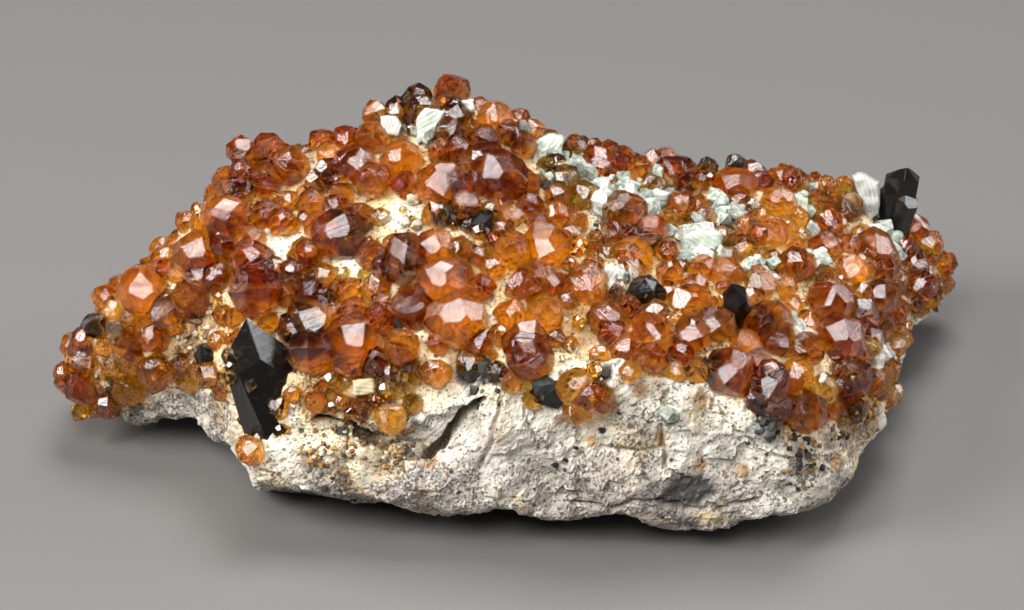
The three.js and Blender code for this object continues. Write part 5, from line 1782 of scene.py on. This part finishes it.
# %% Places of the grains
# Groups: across, down, spread in the view, how many, smallest and largest, colours.
CRUMB_GROUPS = [
    (350, 432, 26, 60, 0.3, 0.75, "brown cream ochre"),
    (395, 450, 26, 60, 0.25, 0.7, "brown ochre cream"),
    (315, 462, 16, 30, 0.3, 0.7, "brown cream ochre"), (300, 440, 12, 12, 0.3, 0.7, "cream brown"),
    (345, 482, 20, 20, 0.25, 0.6, "ochre slate brown"),
    (205, 335, 24, 34, 0.4, 1.1, "brown cream ochre"), (178, 352, 18, 18, 0.4, 1.0, "cream brown"),
    (480, 392, 20, 10, 0.4, 0.8, "slate grey"), (565, 330, 18, 14, 0.5, 1.2, "ochre cream"),
    (700, 365, 18, 14, 0.4, 1.0, "black grey brown"), (484, 372, 16, 10, 0.4, 0.9, "slate black grey"),
    (716, 366, 10, 8, 0.6, 1.2, "slate grey"), (764, 418, 13, 10, 0.7, 1.5, "slate grey"),
    (860, 408, 24, 44, 0.3, 1.0, "ochre brown"), (842, 424, 18, 26, 0.3, 0.8, "ochre brown slate"),
    (925, 290, 18, 22, 0.5, 1.1, "ochre grey brown"), (600, 230, 26, 14, 0.6, 1.3, "sage slate"),
    (640, 200, 22, 12, 0.6, 1.3, "sage grey"), (700, 240, 26, 18, 0.5, 1.2, "sage slate"),
    (560, 180, 20, 14, 0.5, 1.3, "sage slate"), (430, 130, 16, 10, 0.6, 1.2, "sage grey"),
    (604, 200, 22, 26, 1.2, 2.4, "mint sage white"), (560, 168, 18, 18, 1.2, 2.2, "mint sage"),
    (648, 202, 20, 20, 1.2, 2.4, "white mint sage"), (702, 246, 24, 26, 1.2, 2.6, "mint white sage"),
    (757, 272, 16, 14, 1.0, 2.0, "white mint"), (812, 265, 14, 12, 1.0, 2.0, "white mint"),
    (608, 280, 12, 12, 1.2, 2.2, "white"), (868, 205, 16, 16, 1.2, 2.4, "sage mint"),
    (885, 240, 18, 16, 1.2, 2.2, "mint sage"), (795, 335, 14, 14, 1.0, 2.2, "white mint"),
    (430, 128, 14, 12, 1.2, 2.4, "mint"), (880, 354, 12, 12, 1.0, 2.0, "white mint"),
    (725, 215, 16, 12, 1.2, 2.2, "mint sage"), (800, 208, 14, 12, 1.2, 2.2, "mint sage"),
    (400, 212, 26, 10, 0.8, 1.6, "white cream"), (770, 412, 24, 18, 0.4, 1.2, "slate cream ochre"),
    (800, 450, 30, 46, 0.25, 0.8, "slate black ochre"),
]
# Single grains: across, down, size, colour.
SINGLE_GRAINS = [
    (545, 384, 3.0, "slate"), (552, 396, 2.8, "black"), (540, 395, 2.2, "slate"),
    (471, 373, 2.4, "slate"), (485, 369, 2.8, "slate"), (497, 374, 2.0, "slate"),
    (475, 392, 1.0, "black"), (794, 428, 1.0, "black"), (855, 418, 1.4, "grey"),
    (672, 414, 1.9, "sage"), (606, 373, 1.2, "slate"), (603, 430, 0.8, "black"),
    (555, 465, 0.7, "black"), (565, 460, 0.6, "black"), (575, 448, 0.6, "black"),
    (548, 445, 0.6, "grey"), (345, 475, 0.8, "grey"), (325, 488, 0.8, "slate"), (412, 96, 2.2, "black"),
    (404, 104, 2.0, "black"), (452, 216, 3.2, "black"), (466, 223, 2.2, "black"),
    (236, 412, 2.4, "cream"), (241, 430, 2.6, "cream"), (233, 398, 1.8, "cream"),
    (482, 221, 3.2, "black"), (110, 385, 1.6, "grey"), (136, 407, 1.6, "grey"),
    (705, 168, 1.8, "black"), (733, 163, 2.0, "black"), (520, 128, 1.8, "grey"),
    (343, 432, 1.7, "slate"), (399, 326, 1.7, "slate"),
]
print("groups of grains:", len(CRUMB_GROUPS), "single ones:", len(SINGLE_GRAINS))

# %% [markdown]
# ## Grains as one piece
# All grains are joined in one mesh. Small crumbs lie half sunk, and the larger chips stand out more.

# %% Grains
CHIP_FROM = 1.2
CRUMB_PROUD, CHIP_PROUD = 0.1, 0.4
CRUMB_STRETCH = (0.7, 1.2)


def grain(number, size, place, colour, uneven=True):
    """One stone in a seeded turn, ready to be joined. An uneven one is longer one way than another."""
    turn = turn_from_angles(*crumb_dice.uniform(0, 6.3, 3))
    stretch = crumb_dice.uniform(*CRUMB_STRETCH, 3) if uneven else np.ones(3)
    return {"form": CRUMB_FORMS[number % len(CRUMB_FORMS)], "turn": turn, "size": size / 2 * stretch,
            "place": place, "colour": CRUMB_NUMBER[colour]}


grains = []
for across, down, spread, count, low, high, names in CRUMB_GROUPS:
    colours = names.split()
    for n in range(count):
        at = crumb_dice.normal(0, spread / 2, 2)
        hit, normal, _ = rock_at(across + at[0], down + at[1], fine_tree)
        size = crumb_dice.uniform(low, high)
        proud = CRUMB_PROUD if size < CHIP_FROM else CHIP_PROUD
        grains.append(grain(n, size, hit + normal * proud * size, colours[n % len(colours)]))
for n, (across, down, size, colour) in enumerate(SINGLE_GRAINS):
    hit, normal, _ = rock_at(across, down, fine_tree)
    grains.append(grain(n, size, hit - normal * CRUMB_PROUD * size, colour, uneven=False))
crumbs = join_copies("grains", grains, crumb_looks)
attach(crumbs, "root")
print("grains:", len(grains))

# %% [markdown]
# ## Floor
# A plain pale floor, just under the cut, so that the two never share a height. It is only part of the
# stage and not of the specimen.

# %% Floor
FLOOR_HALF = 1600.0
FLOOR_DROP = 0.02
corners_xy = np.array([(-1, -1), (1, -1), (1, 1), (-1, 1)]) * FLOOR_HALF
floor_points = np.concatenate([corners_xy, np.full((4, 1), -FLOOR_DROP)], 1) + FOOTPRINT_MIDDLE
floor_nodes = Nodes("pale_floor")
floor_nodes.set(Base_Color=(0.15, 0.147, 0.145, 1.0), Roughness=0.46, Specular_IOR_Level=0.5)
floor = make_piece("floor", floor_points, [0, 1, 2, 3], [0], [floor_nodes.material], smooth=False)
print("floor:", 2 * FLOOR_HALF * MM, "m wide")

# %% [markdown]
# ## Light
# Crystals need small bright lights that their faces can mirror, and a little light from all round for
# the shadows. The front softbox hangs above the eye and a little to the left, where the turned faces
# flash. One overhead, a little behind, shines through the garnets. One on the left models the rock, and
# one on the right is where the bright face of the large quartz mirrors.

# %% Lights and world
# The height that the lights are aimed at, in m.
AIM_HEIGHT = 0.015


def add_softbox(name, way, distance, width, power, colour):
    """A square area light that faces the specimen from a direction."""
    data = bpy.data.lights.new(name, "AREA")
    data.shape = "SQUARE"
    data.size = width
    data.energy = power
    data.color = colour
    lamp = bpy.data.objects.new(name, data)
    bpy.context.scene.collection.objects.link(lamp)
    way = np.asarray(way, float) / np.linalg.norm(way)
    lamp.location = Vector(way * distance) + Vector((0, 0, AIM_HEIGHT))
    lamp.rotation_euler = Vector(way).to_track_quat("Z", "Y").to_euler()
    return lamp


mirror_way = look - 2 * (look @ LARGE_FACE) * np.array(LARGE_FACE) / np.dot(LARGE_FACE, LARGE_FACE)
# Name, direction from the specimen, distance and width in m, power in W, colour.
SOFTBOXES = [
    ("softbox_front", softbox_way, 0.60, 0.26, 2.5, (1.0, 0.98, 0.97)),
    ("overhead", (0.1, 0.30, 1.0), 0.90, 0.42, 7.6, (1.0, 0.98, 0.96)),
    ("softbox_left", (-0.75, -0.30, 0.62), 0.62, 0.26, 4.6, (1.0, 0.97, 0.93)),
    ("softbox_right", mirror_way, 0.75, 0.36, 3.0, (0.97, 0.98, 1.0)),
]
for softbox in SOFTBOXES:
    add_softbox(*softbox)
print("the large quartz face mirrors the light towards", np.round(mirror_way, 2))
world = bpy.data.worlds.new("studio")
world.use_nodes = True
background = world.node_tree.nodes["Background"]
background.inputs["Color"].default_value = (0.62, 0.62, 0.63, 1.0)
background.inputs["Strength"].default_value = 0.11
bpy.context.scene.world = world
bpy.context.scene.view_settings.view_transform = "Standard"
